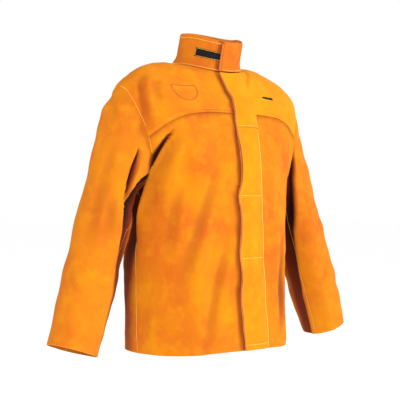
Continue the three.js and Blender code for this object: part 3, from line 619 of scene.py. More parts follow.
def body_drape():
    levels = np.linspace(0, 6.2, 50)
    angles = np.arange(-180, 180, 4.0)
    points = body(levels[:, None], angles[None])
    pins = smooth((levels - 3.0) / 1.8) ** 2 + 0.002
    return sampler(drape(points, np.clip(pins, 0, 1), SIM_CAP), levels, -180, 360)


body_wrinkles = body_drape()


def on_body(level, angle):
    """A place on the folded body."""
    level, angle = np.broadcast_arrays(np.asarray(level, float), np.asarray(angle, float))
    point, normal = body(level, angle), body_normal(level, angle)
    lift, shade = folds(body, BODY_FOLDS, point, normal)
    low = smooth((-point[..., 2] - 180) / 450)
    lift = lift + 3.2 * low * wobble(point, 240, 3, (1, 1, 0.25))
    lift = lift + 1.3 * wobble(point, 80, 4, (1, 1, 0.6)) + 0.4 * wobble(point, 27, 5)
    lift = lift + body_wrinkles(level, angle)
    settle = smooth((NECK - level) / 0.5)
    return Place(point + normal * (lift * settle)[..., None], normal, shade * settle)


# ---------------------------------------------------------------- the sleeves' surface


def armhole(turn, side, spread=0.0):
    """The armhole's edge at a turn of the sleeve, or a line outside it on the body by that share."""
    c = cos(turn)
    grow = 1 + spread
    middle = (ARMPIT + SHOULDER_POINT) / 2
    half = (SHOULDER_POINT - ARMPIT) / 2
    tall = power(c, 2 / ARMHOLE_ROUNDNESS)
    opening = armhole_opening(middle + half * tall) * np.sign(sin(turn)) * grow
    return middle + half * tall * grow, np.where(side > 0, -opening, 180 + opening)


def sleeve_axes(side):
    flip = np.array([side, 1, 1])
    biceps, cuff = BICEPS * flip, CUFF * flip
    axis = unit(cuff - biceps)
    forward = np.array([0, -1.0, 0])
    front = unit(forward - axis * (axis @ forward))
    return biceps, cuff, axis, front, np.cross(axis, front) * -side


def sleeve(t, turn, side):
    """Points of a sleeve: t is 0 at the armhole, 1 at the biceps, 2 at the cuff. Below 0 it runs on
    under the body's leather, which is lapped over it and sewn there."""
    t, turn = np.broadcast_arrays(np.asarray(t, float), np.asarray(turn, float))
    biceps, cuff, axis, front, outside = sleeve_axes(side)

    def ring(down):
        wide = lerp(BICEPS_RADIUS[0], CUFF_RADIUS[0], down) * cos(turn)
        deep = lerp(BICEPS_RADIUS[1], CUFF_RADIUS[1], down) * sin(turn)
        middle = biceps + (cuff - biceps) * down[..., None]
        return middle + outside * wide[..., None] + front * deep[..., None]

    top = ((1 + cos(turn)) / 2)[..., None]
    edge = body(*armhole(turn, side))
    clear = side * lerp(4.5, 1.5, top[..., 0]) * smooth(t / 0.12)
    start = edge + np.stack([clear, 0 * clear, 0 * clear], -1)
    end = ring(np.zeros_like(t))
    reach = np.linalg.norm(end - start, axis=-1, keepdims=True)
    leaving = unit(np.concatenate([side * lerp(0.2, 0.4, top), 0 * top, lerp(-1, -0.8, top)], -1))
    u = np.clip(t, 0, 1)[..., None]
    upper = start * (2 * u**3 - 3 * u**2 + 1) + leaving * (u**3 - 2 * u**2 + u) * reach
    upper = upper + end * (3 * u**2 - 2 * u**3) + axis * (u**3 - u**2) * reach
    below = np.where((t > 1)[..., None], ring(np.maximum(t - 1, 0)), upper)
    tuck = np.clip(-t, 0, 1)
    hidden_at = armhole(turn, side, 0.08 * tuck)
    hidden = body(*hidden_at) - body_normal(*hidden_at) * (2.2 * smooth(tuck * 1.4))[..., None]
    return np.where((t < 0)[..., None], hidden, below)


def sleeve_normal(t, turn, side):
    t = np.maximum(t, 0.006)
    round_it = sleeve(t, turn + 1, side) - sleeve(t, turn - 1, side)
    down_it = sleeve(t + 0.005, turn, side) - sleeve(t - 0.005, turn, side)
    normal = unit(np.cross(round_it, down_it))
    outward = sleeve(t, turn, side) - sleeve(t, turn + 180, side)
    return normal * np.sign((normal * outward).sum(-1, keepdims=True))


def sleeve_drape(side):
    ts = np.linspace(0, 2, 44)
    turns = np.arange(0, 360, 9.0)
    points = sleeve(ts[:, None], turns[None], side)
    pins = np.clip(1 - smooth(ts / 0.35), 0.002, 1)
    return sampler(drape(points, pins, SLEEVE_SIM_CAP), ts, 0, 360)


sleeve_wrinkles = {side: sleeve_drape(side) for side in (-1, 1)}


def on_sleeve(t, turn, side):
    """A place on a folded sleeve. At the armhole it follows the folds of the body."""
    t, turn = np.broadcast_arrays(np.asarray(t, float), np.asarray(turn, float))
    point, normal = sleeve(t, turn, side), sleeve_normal(t, turn, side)
    chosen = RIGHT_SLEEVE_FOLDS if side < 0 else LEFT_SLEEVE_FOLDS
    lift, shade = folds(lambda a, b: sleeve(a, b, side), chosen, point, normal)
    lift = lift + 1.6 * wobble(point, 120, 13 + side, (1, 1, 0.6)) + 0.9 * wobble(point, 55, 17 + side)
    lift = lift + sleeve_wrinkles[side](t, turn)
    free = smooth(t / 0.16)
    held = 1 - smooth(t / 0.3)
    level, angle = armhole(turn, side, 0.08 * np.clip(-t, 0, 1))
    edge = on_body(level, angle)
    push = (edge.point - body(level, angle)) * held[..., None]
    shade = np.maximum(shade * free, edge.shade * held)
    return Place(point + push + normal * (lift * free)[..., None], normal, shade)


# ---------------------------------------------------------------- the collar's surface


def collar(height, angle):
    height, angle = np.broadcast_arrays(np.asarray(height, float), np.asarray(angle, float))
    h = height / COLLAR_HEIGHT
    seam = body(np.full(h.shape, float(NECK)), angle)
    narrow = 1 - (COLLAR_TAPER / BODY[NECK, HALF]) * (1 - (1 - h) ** 3)
    x, y, z = seam[..., 0] * narrow, seam[..., 1] * narrow - COLLAR_LEAN * h, seam[..., 2] + height
    return np.stack([x, y, z], -1)


def on_collar(height, angle):
    height, angle = np.broadcast_arrays(np.asarray(height, float), np.asarray(angle, float))
    point = collar(height, angle)
    round_it = collar(height, angle + 1) - collar(height, angle - 1)
    up_it = collar(height + 1, angle) - collar(height - 1, angle)
    normal = unit(np.cross(round_it, up_it))
    up = smooth(height / 20)
    lift = up * (1.2 * wobble(point, 90, 21) + 0.5 * wobble(point, 34, 22))
    # Painted shadow that the tab's free edge casts on the collar beside it.
    beside_tab = TAB_FREE - angle
    shade = 0.34 * smooth((beside_tab + 4) / 4) * (1 - smooth((beside_tab - 4) / 7))
    return Place(point + normal * lift[..., None], normal, shade)


# ---------------------------------------------------------------- materials


def node(tree, kind, settings=None, **inputs):
    made = tree.nodes.new(kind)
    for key, value in (settings or {}).items():
        setattr(made, key, value)
    for key, value in inputs.items():
        numbered = key[0] == "i" and key[1:].isdigit()
        socket = made.inputs[int(key[1:]) if numbered else key.replace("_", " ")]
        if isinstance(value, bpy.types.NodeSocket):
            tree.links.new(value, socket)
        else:
            socket.default_value = value
    return made


def blend_colours(tree, factor, a, b):
    made = node(tree, "ShaderNodeMix", {"data_type": "RGBA"})
    for index, value in ((0, factor), (6, a), (7, b)):
        if isinstance(value, bpy.types.NodeSocket):
            tree.links.new(value, made.inputs[index])
        else:
            made.inputs[index].default_value = value
    return made.outputs[2]


def ranged(tree, value, low, high, to_low=0.0, to_high=1.0):
    made = node(tree, "ShaderNodeMapRange", None, Value=value, From_Min=low, From_Max=high,
                To_Min=to_low, To_Max=to_high)
    return made.outputs["Result"]


def noise(tree, at, scale, detail=3.0, roughness=0.55):
    made = node(tree, "ShaderNodeTexNoise", None, Vector=at, Scale=scale, Detail=detail, Roughness=roughness)
    return made.outputs["Fac"]


def attribute(tree, name, output="Fac"):
    return node(tree, "ShaderNodeAttribute", {"attribute_name": name}).outputs[output]


def new_material(name):
    material = bpy.data.materials.new(name)
    material.use_nodes = True
    tree = material.node_tree
    return material, tree, tree.nodes["Principled BSDF"]


def rgb(red, green, blue):
    """A colour given as it shows on screen, from 0 to 255, as light."""
    light = [(c / 255 / 12.92 if c <= 10 else ((c / 255 + 0.055) / 1.055) ** 2.4) for c in (red, green, blue)]
    return (*light, 1.0)


# Near black, for the painted shade in the deepest folds.
PAINTED_DEEP_SHADE = rgb(24, 7, 4)


def suede(name, base, ruddy, bright, nap_and_shade_colour, cut_edge):
    """Split cowhide: a soft nap, cloudy colour, painted shade in its folds and pale where it is cut."""
    material, tree, shader = new_material(name)
    at = attribute(tree, "rest", "Vector")
    clouds = ranged(tree, noise(tree, at, 7.5, 3.5), 0.37, 0.64, 0.0, 0.66)
    colour = blend_colours(tree, clouds, base, ruddy)
    patches = ranged(tree, noise(tree, at, 26, 4, 0.6), 0.48, 0.76, 0.0, 0.55)
    colour = blend_colours(tree, patches, colour, bright)
    marks = ranged(tree, noise(tree, at, 120, 5, 0.7), 0.56, 0.78, 0.0, 0.3)
    colour = blend_colours(tree, marks, colour, ruddy)
    nap = noise(tree, at, 1500, 4, 0.7)
    dark_nap = ranged(tree, nap, 0.3, 0.6, 0.22, 0.0)
    colour = blend_colours(tree, dark_nap, colour, nap_and_shade_colour)
    # Painted shade: the shade attribute darkens the leather in folds and creases, to dark red-brown and then near
    # black.
    shade = attribute(tree, "shade")
    colour = blend_colours(tree, ranged(tree, shade, 0.0, 0.5), colour, nap_and_shade_colour)
    colour = blend_colours(tree, ranged(tree, shade, 0.45, 1.0), colour, PAINTED_DEEP_SHADE)
    colour = blend_colours(tree, attribute(tree, "rim"), colour, cut_edge)
    tree.links.new(colour, shader.inputs["Base Color"])
    tree.links.new(ranged(tree, nap, 0.3, 0.7, 0.98, 0.78), shader.inputs["Roughness"])
    grain = noise(tree, at, 260, 5, 0.65)
    coarse = node(tree, "ShaderNodeBump", None, Strength=0.5, Distance=0.0011, Height=grain)
    fine = node(tree, "ShaderNodeBump", None, Strength=0.6, Distance=0.0005, Height=nap,
                Normal=coarse.outputs[0])
    tree.links.new(fine.outputs[0], shader.inputs["Normal"])
    shader.inputs["Specular IOR Level"].default_value = 0.06
    shader.inputs["Sheen Weight"].default_value = 0.05
    shader.inputs["Sheen Roughness"].default_value = 0.5
    shader.inputs["Sheen Tint"].default_value = rgb(255, 190, 110)
    return material


def woven(name, base, other, across, bump, roughness):
    """A narrow woven tape or label: threads that cross, and lint on them."""
    material, tree, shader = new_material(name)
    at = attribute(tree, "rest", "Vector")
    waves = []
    for direction in ("X", "Z"):
        settings = {"wave_type": "BANDS", "bands_direction": direction}
        wave = node(tree, "ShaderNodeTexWave", settings, Vector=at, Scale=across, Distortion=1.5, Detail=1.0)
        waves.append(wave.outputs["Fac"])
    weave = node(tree, "ShaderNodeMath", {"operation": "MAXIMUM"}, i0=waves[0], i1=waves[1]).outputs[0]
    lint = noise(tree, at, 700, 5, 0.75)
    colour = blend_colours(tree, ranged(tree, weave, 0.2, 1.0, 0.0, 0.6), base, other)
    colour = blend_colours(tree, ranged(tree, lint, 0.58, 0.8, 0.0, 0.35), colour, other)
    tree.links.new(colour, shader.inputs["Base Color"])
    tree.links.new(ranged(tree, lint, 0.3, 0.7, roughness, roughness - 0.15), shader.inputs["Roughness"])
    height = node(tree, "ShaderNodeMath", {"operation": "ADD"}, i0=weave, i1=lint).outputs[0]
    raised = node(tree, "ShaderNodeBump", None, Strength=0.8, Distance=bump, Height=height)
    tree.links.new(raised.outputs[0], shader.inputs["Normal"])
    shader.inputs["Specular IOR Level"].default_value = 0.1
    return material


def thread_material(name, base, shaded):
    material, tree, shader = new_material(name)
    at = attribute(tree, "rest", "Vector")
    fuzz = noise(tree, at, 1800, 4, 0.7)
    wave = node(tree, "ShaderNodeTexWave", {"bands_direction": "DIAGONAL"}, Vector=at, Scale=420.0,
                Distortion=0.8)
    twist = wave.outputs["Fac"]
    colour = blend_colours(tree, ranged(tree, twist, 0.0, 0.5, 0.4, 0.0), base, shaded)
    colour = blend_colours(tree, ranged(tree, fuzz, 0.5, 0.8, 0.0, 0.3), colour, shaded)
    tree.links.new(colour, shader.inputs["Base Color"])
    tree.links.new(ranged(tree, fuzz, 0.3, 0.7, 0.9, 0.65), shader.inputs["Roughness"])
    raised = node(tree, "ShaderNodeBump", None, Strength=0.5, Distance=0.0003, Height=twist)
    tree.links.new(raised.outputs[0], shader.inputs["Normal"])
    return material


def snap_material():
    material, tree, shader = new_material("snap_nickel")
    at = node(tree, "ShaderNodeTexCoord").outputs["Object"]
    wear = noise(tree, at, 300, 5, 0.7)
    colour = blend_colours(tree, ranged(tree, wear, 0.4, 0.75), rgb(178, 170, 152), rgb(112, 98, 78))
    tree.links.new(colour, shader.inputs["Base Color"])
    tree.links.new(ranged(tree, wear, 0.3, 0.75, 0.22, 0.55), shader.inputs["Roughness"])
    pitting = noise(tree, at, 2500, 3)
    raised = node(tree, "ShaderNodeBump", None, Strength=0.15, Distance=0.0002, Height=pitting)
    tree.links.new(raised.outputs[0], shader.inputs["Normal"])
    shader.inputs["Metallic"].default_value = 1.0
    return material


# Dark red-brown, for the darker nap and for the painted shade in folds.
HIDE_DARK = rgb(96, 30, 10)
HIDE_CUT = rgb(178, 100, 52)
GRAIN = suede("hide_outer", rgb(167, 98, 5), rgb(152, 64, 14), rgb(176, 114, 4), HIDE_DARK, HIDE_CUT)
ARM = suede("hide_sleeve", rgb(165, 96, 9), rgb(153, 71, 15), rgb(174, 112, 6), HIDE_DARK, HIDE_CUT)
NECK_HIDE = suede("hide_collar", rgb(160, 86, 14), rgb(148, 66, 18), rgb(170, 100, 12), HIDE_DARK, HIDE_CUT)
FLAP_HIDE = suede("hide_flap", rgb(170, 110, 3), rgb(160, 88, 6), rgb(178, 122, 3), HIDE_DARK, HIDE_CUT)
FLESH = suede("hide_flesh", rgb(160, 98, 40), rgb(146, 80, 30), rgb(172, 112, 50), HIDE_DARK, HIDE_CUT)
TAPE = woven("tape_black", rgb(9, 9, 8), rgb(24, 22, 20), 180.0, 0.0005, 0.98)
LABEL = woven("label_white", rgb(226, 219, 202), rgb(246, 242, 232), 260.0, 0.0002, 0.85)
THREAD = thread_material("thread_yellow", rgb(218, 172, 74), rgb(196, 126, 36))
TONE = thread_material("thread_orange", rgb(196, 122, 28), rgb(166, 82, 16))
MARK = thread_material("thread_brown", rgb(110, 40, 10), rgb(84, 28, 8))
NICKEL = snap_material()

# ---------------------------------------------------------------- meshes


def make_object(name, points, faces, material, attributes, sharp=50):
    """A mesh in metres from points in millimetres. Every piece keeps where it is at rest as `rest`."""
    mesh = bpy.data.meshes.new(name)
    mesh.from_pydata((points * MM).tolist(), [], [list(map(int, f)) for f in faces])
    mesh.polygons.foreach_set("use_smooth", np.ones(len(mesh.polygons), bool))
    mesh.set_sharp_from_angle(angle=math.radians(sharp))
    rest = mesh.attributes.new("rest", "FLOAT_VECTOR", "POINT")
    rest.data.foreach_set("vector", (points * MM).astype(np.float32).ravel())
    for key, values in attributes.items():
        kept = mesh.attributes.new(key, "FLOAT", "POINT")
        kept.data.foreach_set("value", values.astype(np.float32).ravel())
    mesh.materials.append(material)
    mesh.update()
    made = bpy.data.objects.new(name, mesh)
    bpy.context.scene.collection.objects.link(made)
    return made


def sheet_object(name, outer, inner, material, attributes, out_from):
    """A closed sheet between two grids of points. out_from is the outer grid's normals."""
    rows, columns = outer.shape[:2]
    index = np.arange(rows * columns).reshape(rows, columns)
    top = np.stack([index[:-1, :-1], index[:-1, 1:], index[1:, 1:], index[1:, :-1]], -1).reshape(-1, 4)
    border = np.concatenate([index[0, :-1], index[:-1, -1], index[-1, :0:-1], index[:0:-1, 0]])
    after = np.roll(border, -1)
    count = rows * columns
    under = top[:, ::-1] + count
    wall = np.stack([border, border + count, after + count, after], -1)
    faces = np.concatenate([top, under, wall])
    flat = outer.reshape(-1, 3)
    facing = np.cross(flat[top[:, 2]] - flat[top[:, 0]], flat[top[:, 3]] - flat[top[:, 1]])
    if (facing * out_from.reshape(-1, 3)[top[:, 0]]).sum() < 0:
        faces = faces[:, ::-1]
    points = np.concatenate([flat, inner.reshape(-1, 3)])
    both = {key: np.concatenate([values.ravel(), values.ravel()]) for key, values in attributes.items()}
    return make_object(name, points, faces, material, both)


RAW, SEWN = "raw", "sewn"


def leather(name, place, across, up, lift, thick, material, edges, declared=False):
    """A panel of leather. across and up are its grid's distances along its two ways, in millimetres, and
    edges says how its bottom, top, first and last edges are finished. A declared one is a sheet whose cut
    is measured along its own surface."""
    shape = place.point.shape[:2]
    lift = np.broadcast_to(lift, shape)
    ways = (up[:, None], up[-1] - up[:, None], across[None], across[-1] - across[None])
    sink, rim = np.zeros(shape), np.zeros(shape)
    for kind, away in zip(edges, ways):
        if kind == RAW:
            sink = np.maximum(sink, 0.3 * thick * np.exp(-((away / 0.7) ** 2)))
            rim = np.maximum(rim, np.exp(-((away / 1.1) ** 2)) + np.zeros(shape))
        elif kind == SEWN:
            sink = np.maximum(sink, 0.8 * thick * np.exp(-((away / 1.8) ** 2)))
    outer = place.point + place.normal * (lift + thick - sink)[..., None]
    inner = place.point + place.normal * lift[..., None]
    piece = sheet_object(name, outer, inner, material, {"shade": place.shade, "rim": rim}, place.normal)
    if declared:
        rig.sheet(piece, **cut_of(outer), held="hung")
    return piece


def cut_of(grid):
    """The flat size and area of a panel's cut, in metres, from its longest rows and its faces."""
    width = np.linalg.norm(np.diff(grid, axis=1), axis=-1).sum(1).max() * MM
    length = np.linalg.norm(np.diff(grid, axis=0), axis=-1).sum(0).max() * MM
    one, other = grid[1:, 1:] - grid[:-1, :-1], grid[1:, :-1] - grid[:-1, 1:]
    area = np.linalg.norm(np.cross(one, other), axis=-1).sum() / 2 * MM * MM
    return {"flat": (width, length), "area": float(np.clip(area, 0.31 * width * length, width * length))}


def give(piece, slot, body_name, *nodes):
    """Rides a piece on its body, and names its finish and the nodes that it stands for."""
    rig.slot(piece, slot)
    if nodes:
        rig.replaces(piece, *nodes)
    if body_name:
        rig.ride(piece, body_name)
    return piece


# ---------------------------------------------------------------- stitches

STITCH_SIDES = 5
STITCH_PROFILE = ((0, 0.35, -0.5), (0.16, 0.9, 0.1), (0.5, 1.0, 0.35), (0.84, 0.9, 0.1), (1, 0.35, -0.5))


def stitches(name, lines, material=None, pitch=4.6, length=3.9, radius=0.62):
    """Rows of stitches as one piece. Each line is its points and normals, and each stitch a short thread
    that dips into the leather at its ends."""
    all_points, faces = [], []
    around = np.arange(STITCH_SIDES) * 2 * math.pi / STITCH_SIDES
    for points, normals in lines:
        steps = np.linalg.norm(np.diff(points, axis=0), axis=1)
        run = np.concatenate([[0], np.cumsum(steps)])
        starts = np.arange(pitch * 0.3, run[-1] - length, pitch)

        def along(values, distance):
            return np.stack([np.interp(distance, run, column) for column in values.T], -1)

        for start in starts:
            first = len(all_points) * STITCH_SIDES
            ahead = unit(along(points, start + length) - along(points, start))
            for share, wide, high in STITCH_PROFILE:
                centre = along(points, start + share * length)
                up = unit(along(normals, start + share * length))
                side = np.cross(ahead, up)
                ring = centre + up * (high * radius)
                ring = ring + np.outer(np.cos(around), side) * radius * wide
                all_points.append(ring + np.outer(np.sin(around), up) * radius * wide)
            turn = np.arange(STITCH_SIDES)
            after = (turn + 1) % STITCH_SIDES
            for k in range(len(STITCH_PROFILE) - 1):
                here, there = first + k * STITCH_SIDES, first + (k + 1) * STITCH_SIDES
                faces += [[here + b, here + a, there + a, there + b] for a, b in zip(turn, after)]
            last = first + (len(STITCH_PROFILE) - 1) * STITCH_SIDES
            faces.append([first + a for a in turn])
            faces.append([last + a for a in turn[::-1]])
    return make_object(name, np.concatenate(all_points), faces, material or THREAD, {}, 80)


def body_line(level, angle, lift):
    place = on_body(level, angle)
    return place.point + place.normal * np.broadcast_to(lift, place.shade.shape)[..., None], place.normal


def sew(name, lines, body_name="root", **options):
    return give(stitches(name, lines, **options), "hide", body_name)


# ---------------------------------------------------------------- the flap's places

# How far the flap's free edge swings to the left of its straight cut, by height.
# The wave's heights and offsets, and the stitch rows, were read off the photo as well.
FREE_EDGE_WAVE = [(-766, 1), (-694, -3), (-630, -6), (-566, -2), (-514, -5), (-463, 1), (-400, 2), (-364, -3),
                  (-320, 8), (-262, 9), (-203, 7), (-127, 10), (-100, 12), (-73, 7), (-41, 0), (0, -2)]
# How much the outer leather lifts there, between the rows of stitches.
FREE_EDGE_LIFT = [(-766, 1), (-748, 0), (-690, 2), (-640, 1), (-590, 2), (-523, 0), (-460, 2.5), (-400, 1),
                  (-361, 0), (-320, 2.5), (-262, 4), (-215, 2), (-181, 0), (-120, 1.5), (-60, 1), (0, 0)]
STITCH_ROWS = (-361, -523, -747)
FLAP_WIDTH, FLAP_LENGTH, FACING_WIDTH = 90, 569, 67
FACING_STARTS = 0.26  # share of the flap's width from its sewn edge
FACING_PROUD = 1.5  # the facing stands this far past the outer leather's edge


def flap_x(pair, z):
    return lerp(pair[0], pair[1], (-z - YOKE_DROP) / (BODY[0, DROP] - YOKE_DROP))


def across_flap(share, proud=0.0):
    def x_at(z):
        sewn, free = flap_x(STITCH_X, z), flap_x(FREE_X, z)
        wave = curve_through(FREE_EDGE_WAVE, z)
        return sewn - share * (sewn - free) + share**3 * (wave - proud)

    return front_edge(x_at)


def flap_lift(share):
    """How high the flap's outer leather stands: it clears the press studs' stack."""
    return lerp(2.0, 9.5, smooth(share / 0.42)) - 2.0 * smooth((share - 0.72) / 0.28)


def facing_depth(share):
    apart = smooth((share - 0.12) / 0.2) * (1 - smooth((share - 0.78) / 0.2))
    return lerp(LINING + GAP, 3.3, apart)


def quilt(z):
    """The flap sinks along its rows of stitches."""
    return -1.5 * sum(np.exp(-(((z - row) / 5.0) ** 2)) for row in STITCH_ROWS)


def flap_grid(shares, bottom, top, up, proud=0.0):
    """Places across the flap. bottom and top are its ends' lines, up the distances between them."""
    v = (up / up[-1])[:, None]
    level = np.zeros((len(up), len(shares)))
    angle = np.full(level.shape, -85.0)
    edges = [across_flap(share, proud) for share in shares]
    for _ in range(5):
        level = lerp(bottom(angle), top(angle), v)
        angle = np.stack([edge(level[:, i]) for i, edge in enumerate(edges)], 1)
    return level, angle


def hem(angle):
    """The front's hem is cut a little shorter than the back's."""
    return 0.035 * np.exp(-(((angle + 86) / 36) ** 2))


def flap_level(z, below=0.0):
    return seam_line(lambda points: np.full(len(points), float(z)), below, 0.0, 6.97)


# ---------------------------------------------------------------- body panels


def panel_grid(first, last, bottom, middle, top, across, below, above):
    """Levels and angles of a panel between two side edges, given by level, and two lines, given by
    angle, with a row along one level on the way: below and above are distances either side of it."""
    u = (across / across[-1])[None]
    part = np.concatenate([below / below[-1], 1 + (above / above[-1])[1:]])[:, None]
    level = np.full((len(part), len(across)), float(middle))
    angle = lerp(first(level), last(level), u)
    for _ in range(6):
        under = lerp(bottom(angle), middle, np.minimum(part, 1))
        level = np.where(part <= 1, under, lerp(middle, top(angle), part - 1))
        angle = lerp(first(level), last(level), u)
    return level, angle, np.concatenate([below, below[-1] + above[1:]])


CLOSE_TO_ARMHOLE = (0, 0.5, 1.2, 2.4, 4.0, 6.0)
PANEL_DEPTH = (431, 125)  # hem to armpit, armpit to yoke
YOKE_DEPTH = (120, 120)  # yoke seam to shoulder point, and on to the neck
SIDE_WIDTH = {"right": 350, "left": 210, "back": 620}


def panel_rows(depth, pitch):
    below = stations(depth[0], pitch, (1, 0))
    below = np.concatenate([below[:-1], depth[0] - np.array(CLOSE_TO_ARMHOLE[:0:-1]), [depth[0]]])
    below = np.unique(np.round(below, 3))
    above = depth[1] - stations(depth[1], pitch, (1, 0))[::-1]
    above = np.unique(np.round(np.concatenate([CLOSE_TO_ARMHOLE, above]), 3))
    return below, above


under_edge = front_edge(lambda z: flap_x(STITCH_X, z) - 12)
left_edge_of = front_edge(lambda z: flap_x(STITCH_X, z) + 0.4)
facing_edge = front_edge(lambda z: flap_x(FREE_X, z) - 6)
yoke_line = seam_line(yoke_seam)
under_yoke_line = seam_line(yoke_seam, -YOKE_LAP)
back_yoke_line = seam_line(back_yoke_seam)
under_back_yoke_line = seam_line(back_yoke_seam, -YOKE_LAP)


def neck_line(room=0.8):
    """The neck seam, less a little room."""
    per_level = np.linalg.norm(body(7.0, ANGLES) - body(6.98, ANGLES), axis=-1) / 0.02
    return lambda angle: NECK - np.interp(angle, ANGLES, room / per_level)


neck = neck_line()


def fine_columns(width, coarse, fine, until):
    """Columns that are fine until a distance and coarse after it."""
    first = stations(until, fine, (1, 0))
    return np.concatenate([first[:-1], until + stations(width - until, coarse, (0, 1))])


def shadow_below_yoke(place, line, level, angle):
    """Paints the shadow that a yoke's edge casts on a panel just under it."""
    drop = (line(angle) - level) * 45  # millimetres, near enough, for one level there
    return place._replace(shade=np.maximum(place.shade, 0.3 * np.exp(-(((drop + 0.5) / 3.5) ** 2))))


def shadow_beside_flap(place):
    """Paints the shadow that the flap's free edge casts on the right front beside it."""
    x, z = place.point[..., 0], place.point[..., 2]
    away = flap_x(FREE_X, z) + curve_through(FREE_EDGE_WAVE, z) - x
    band = smooth((away + 6) / 6) * (1 - smooth((away - 9) / 8)) * (place.point[..., 1] < 0)
    return place._replace(shade=np.maximum(place.shade, 0.3 * band))


def right_panel():
    across = fine_columns(SIDE_WIDTH["right"], 6.5, 3.2, 190)
    coarse = stations(260, 7, (1, 0))
    fine = 260 + stations(PANEL_DEPTH[0] - 260, 3.4, (0, 1), CLOSE_TO_ARMHOLE)
    below = np.concatenate([coarse[:-1], fine])
    above = stations(PANEL_DEPTH[1], 3.4, (1, 1))
    level, angle, up = panel_grid(
        right_front_side, under_edge, hem, ARMPIT, under_yoke_line, across, below, above)
    place = shadow_beside_flap(shadow_below_yoke(on_body(level, angle), yoke_line, level, angle))
    piece = leather("right_front_hide", place, across, up, 0, HIDE, GRAIN, (RAW, None, SEWN, RAW), True)
    give(piece, "hide", "root", "right_front_panel")


def left_panel():
    across = stations(SIDE_WIDTH["left"], 5.5)
    below, above = panel_rows(PANEL_DEPTH, 6)
    level, angle, up = panel_grid(
        left_edge_of, left_front_side, hem, ARMPIT, under_yoke_line, across, below, above)
    place = shadow_below_yoke(on_body(level, angle), yoke_line, level, angle)
    piece = leather("left_front_hide", place, across, up, 0, HIDE, GRAIN, (RAW, None, None, SEWN), True)
    give(piece, "hide", "root", "left_front_panel")


def back_panel():
    across = stations(SIDE_WIDTH["back"], 7)
    below, above = panel_rows(PANEL_DEPTH, 7)
    level, angle, up = panel_grid(
        left_back_side, right_back_side, hem, ARMPIT, under_back_yoke_line, across, below, above)
    place = shadow_below_yoke(on_body(level, angle), back_yoke_line, level, angle)
    piece = leather("back_hide", place, across, up, 0, HIDE, GRAIN, (RAW, None, SEWN, SEWN), True)
    give(piece, "hide", "root", "back_panel")


def yoke_lift(up):
    """A yoke lies over the panel below it at its lap, where its turned edge makes a low ridge."""
    lap = (HIDE + GAP) * (1 - smooth((up - YOKE_LAP) / 26))
    return (lap + 1.2 * np.exp(-(((up - 4) / 3.4) ** 2)))[:, None]


def yoke_rows():
    below = stations(YOKE_DEPTH[0], 4.5, (1, 1), CLOSE_TO_ARMHOLE)
    above = stations(YOKE_DEPTH[1], 4.5, (1, 1), CLOSE_TO_ARMHOLE)
    return below, above


def right_yoke():
    across = stations(260, 4.6)
    level, angle, up = panel_grid(
        right_front_side, under_edge, yoke_line, SHOULDER_POINT, neck, across, *yoke_rows())
    place = shadow_beside_flap(on_body(level, angle))
    piece = leather("right_yoke_hide", place, across, up, yoke_lift(up), HIDE, GRAIN,
                    (SEWN, SEWN, SEWN, RAW), True)
    give(piece, "hide", "root", "right_front_yoke")


def back_yoke():
    across = stations(SIDE_WIDTH["back"], 6)
    level, angle, up = panel_grid(
        left_back_side, right_back_side, back_yoke_line, SHOULDER_POINT, neck, across, *yoke_rows())
    piece = leather("back_yoke_hide", on_body(level, angle), across, up, yoke_lift(up), HIDE, GRAIN,
                    (SEWN, SEWN, SEWN, SEWN), True)
    give(piece, "hide", "root", "back_yoke")


def left_yoke():
    """The left yoke runs on over the closure, where it stands as high as the flap below it."""
    below, above = yoke_rows()
    beside = stations(200, 4.6, (0, 1))
    level, angle, up = panel_grid(
        left_edge_of, left_front_side, yoke_line, SHOULDER_POINT, neck, beside, below, above)
    over = stations(86, 4.6, (1, 0))
    shares = 1 - over / over[-1]
    v = up / up[-1]
    room = neck_line(5.2)
    flap_at, flap_angle = flap_grid(shares[:-1], flap_level(-FLAP_TOP), room, v)
    lift = np.concatenate([np.broadcast_to(flap_lift(shares[:-1]), flap_at.shape),
                           np.maximum(yoke_lift(up), 2.0 * (1 - smooth(beside / 70))[None])], 1)
    place = on_body(np.concatenate([flap_at, level], 1), np.concatenate([flap_angle, angle], 1))
    across = np.concatenate([over[:-1], over[-1] + beside])
    bulge = curve_through(FREE_EDGE_LIFT, place.point[..., 2])
    weight = np.zeros(len(across))
    weight[: len(shares) - 1] = shares[:-1] ** 4
    piece = leather("left_yoke_hide", place, across, up, lift + bulge * weight, HIDE, FLAP_HIDE,
                    (SEWN, SEWN, RAW, SEWN), True)
    give(piece, "hide", "root", "left_front_yoke")


# ---------------------------------------------------------------- the closure

def flap_place(shares, bottom, top, length, pitch, proud=0.0):
    up = stations(length, pitch)
    level, angle = flap_grid(shares, bottom, top, up, proud)
    return on_body(level, angle), up


def flap_bend(piece):
    """The flap's top is held under the yoke, so it twists open from there down."""
    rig.blend(piece, "root", "storm_flap", start=(0.05, -0.15, -0.205), end=(0.05, -0.15, -0.335))


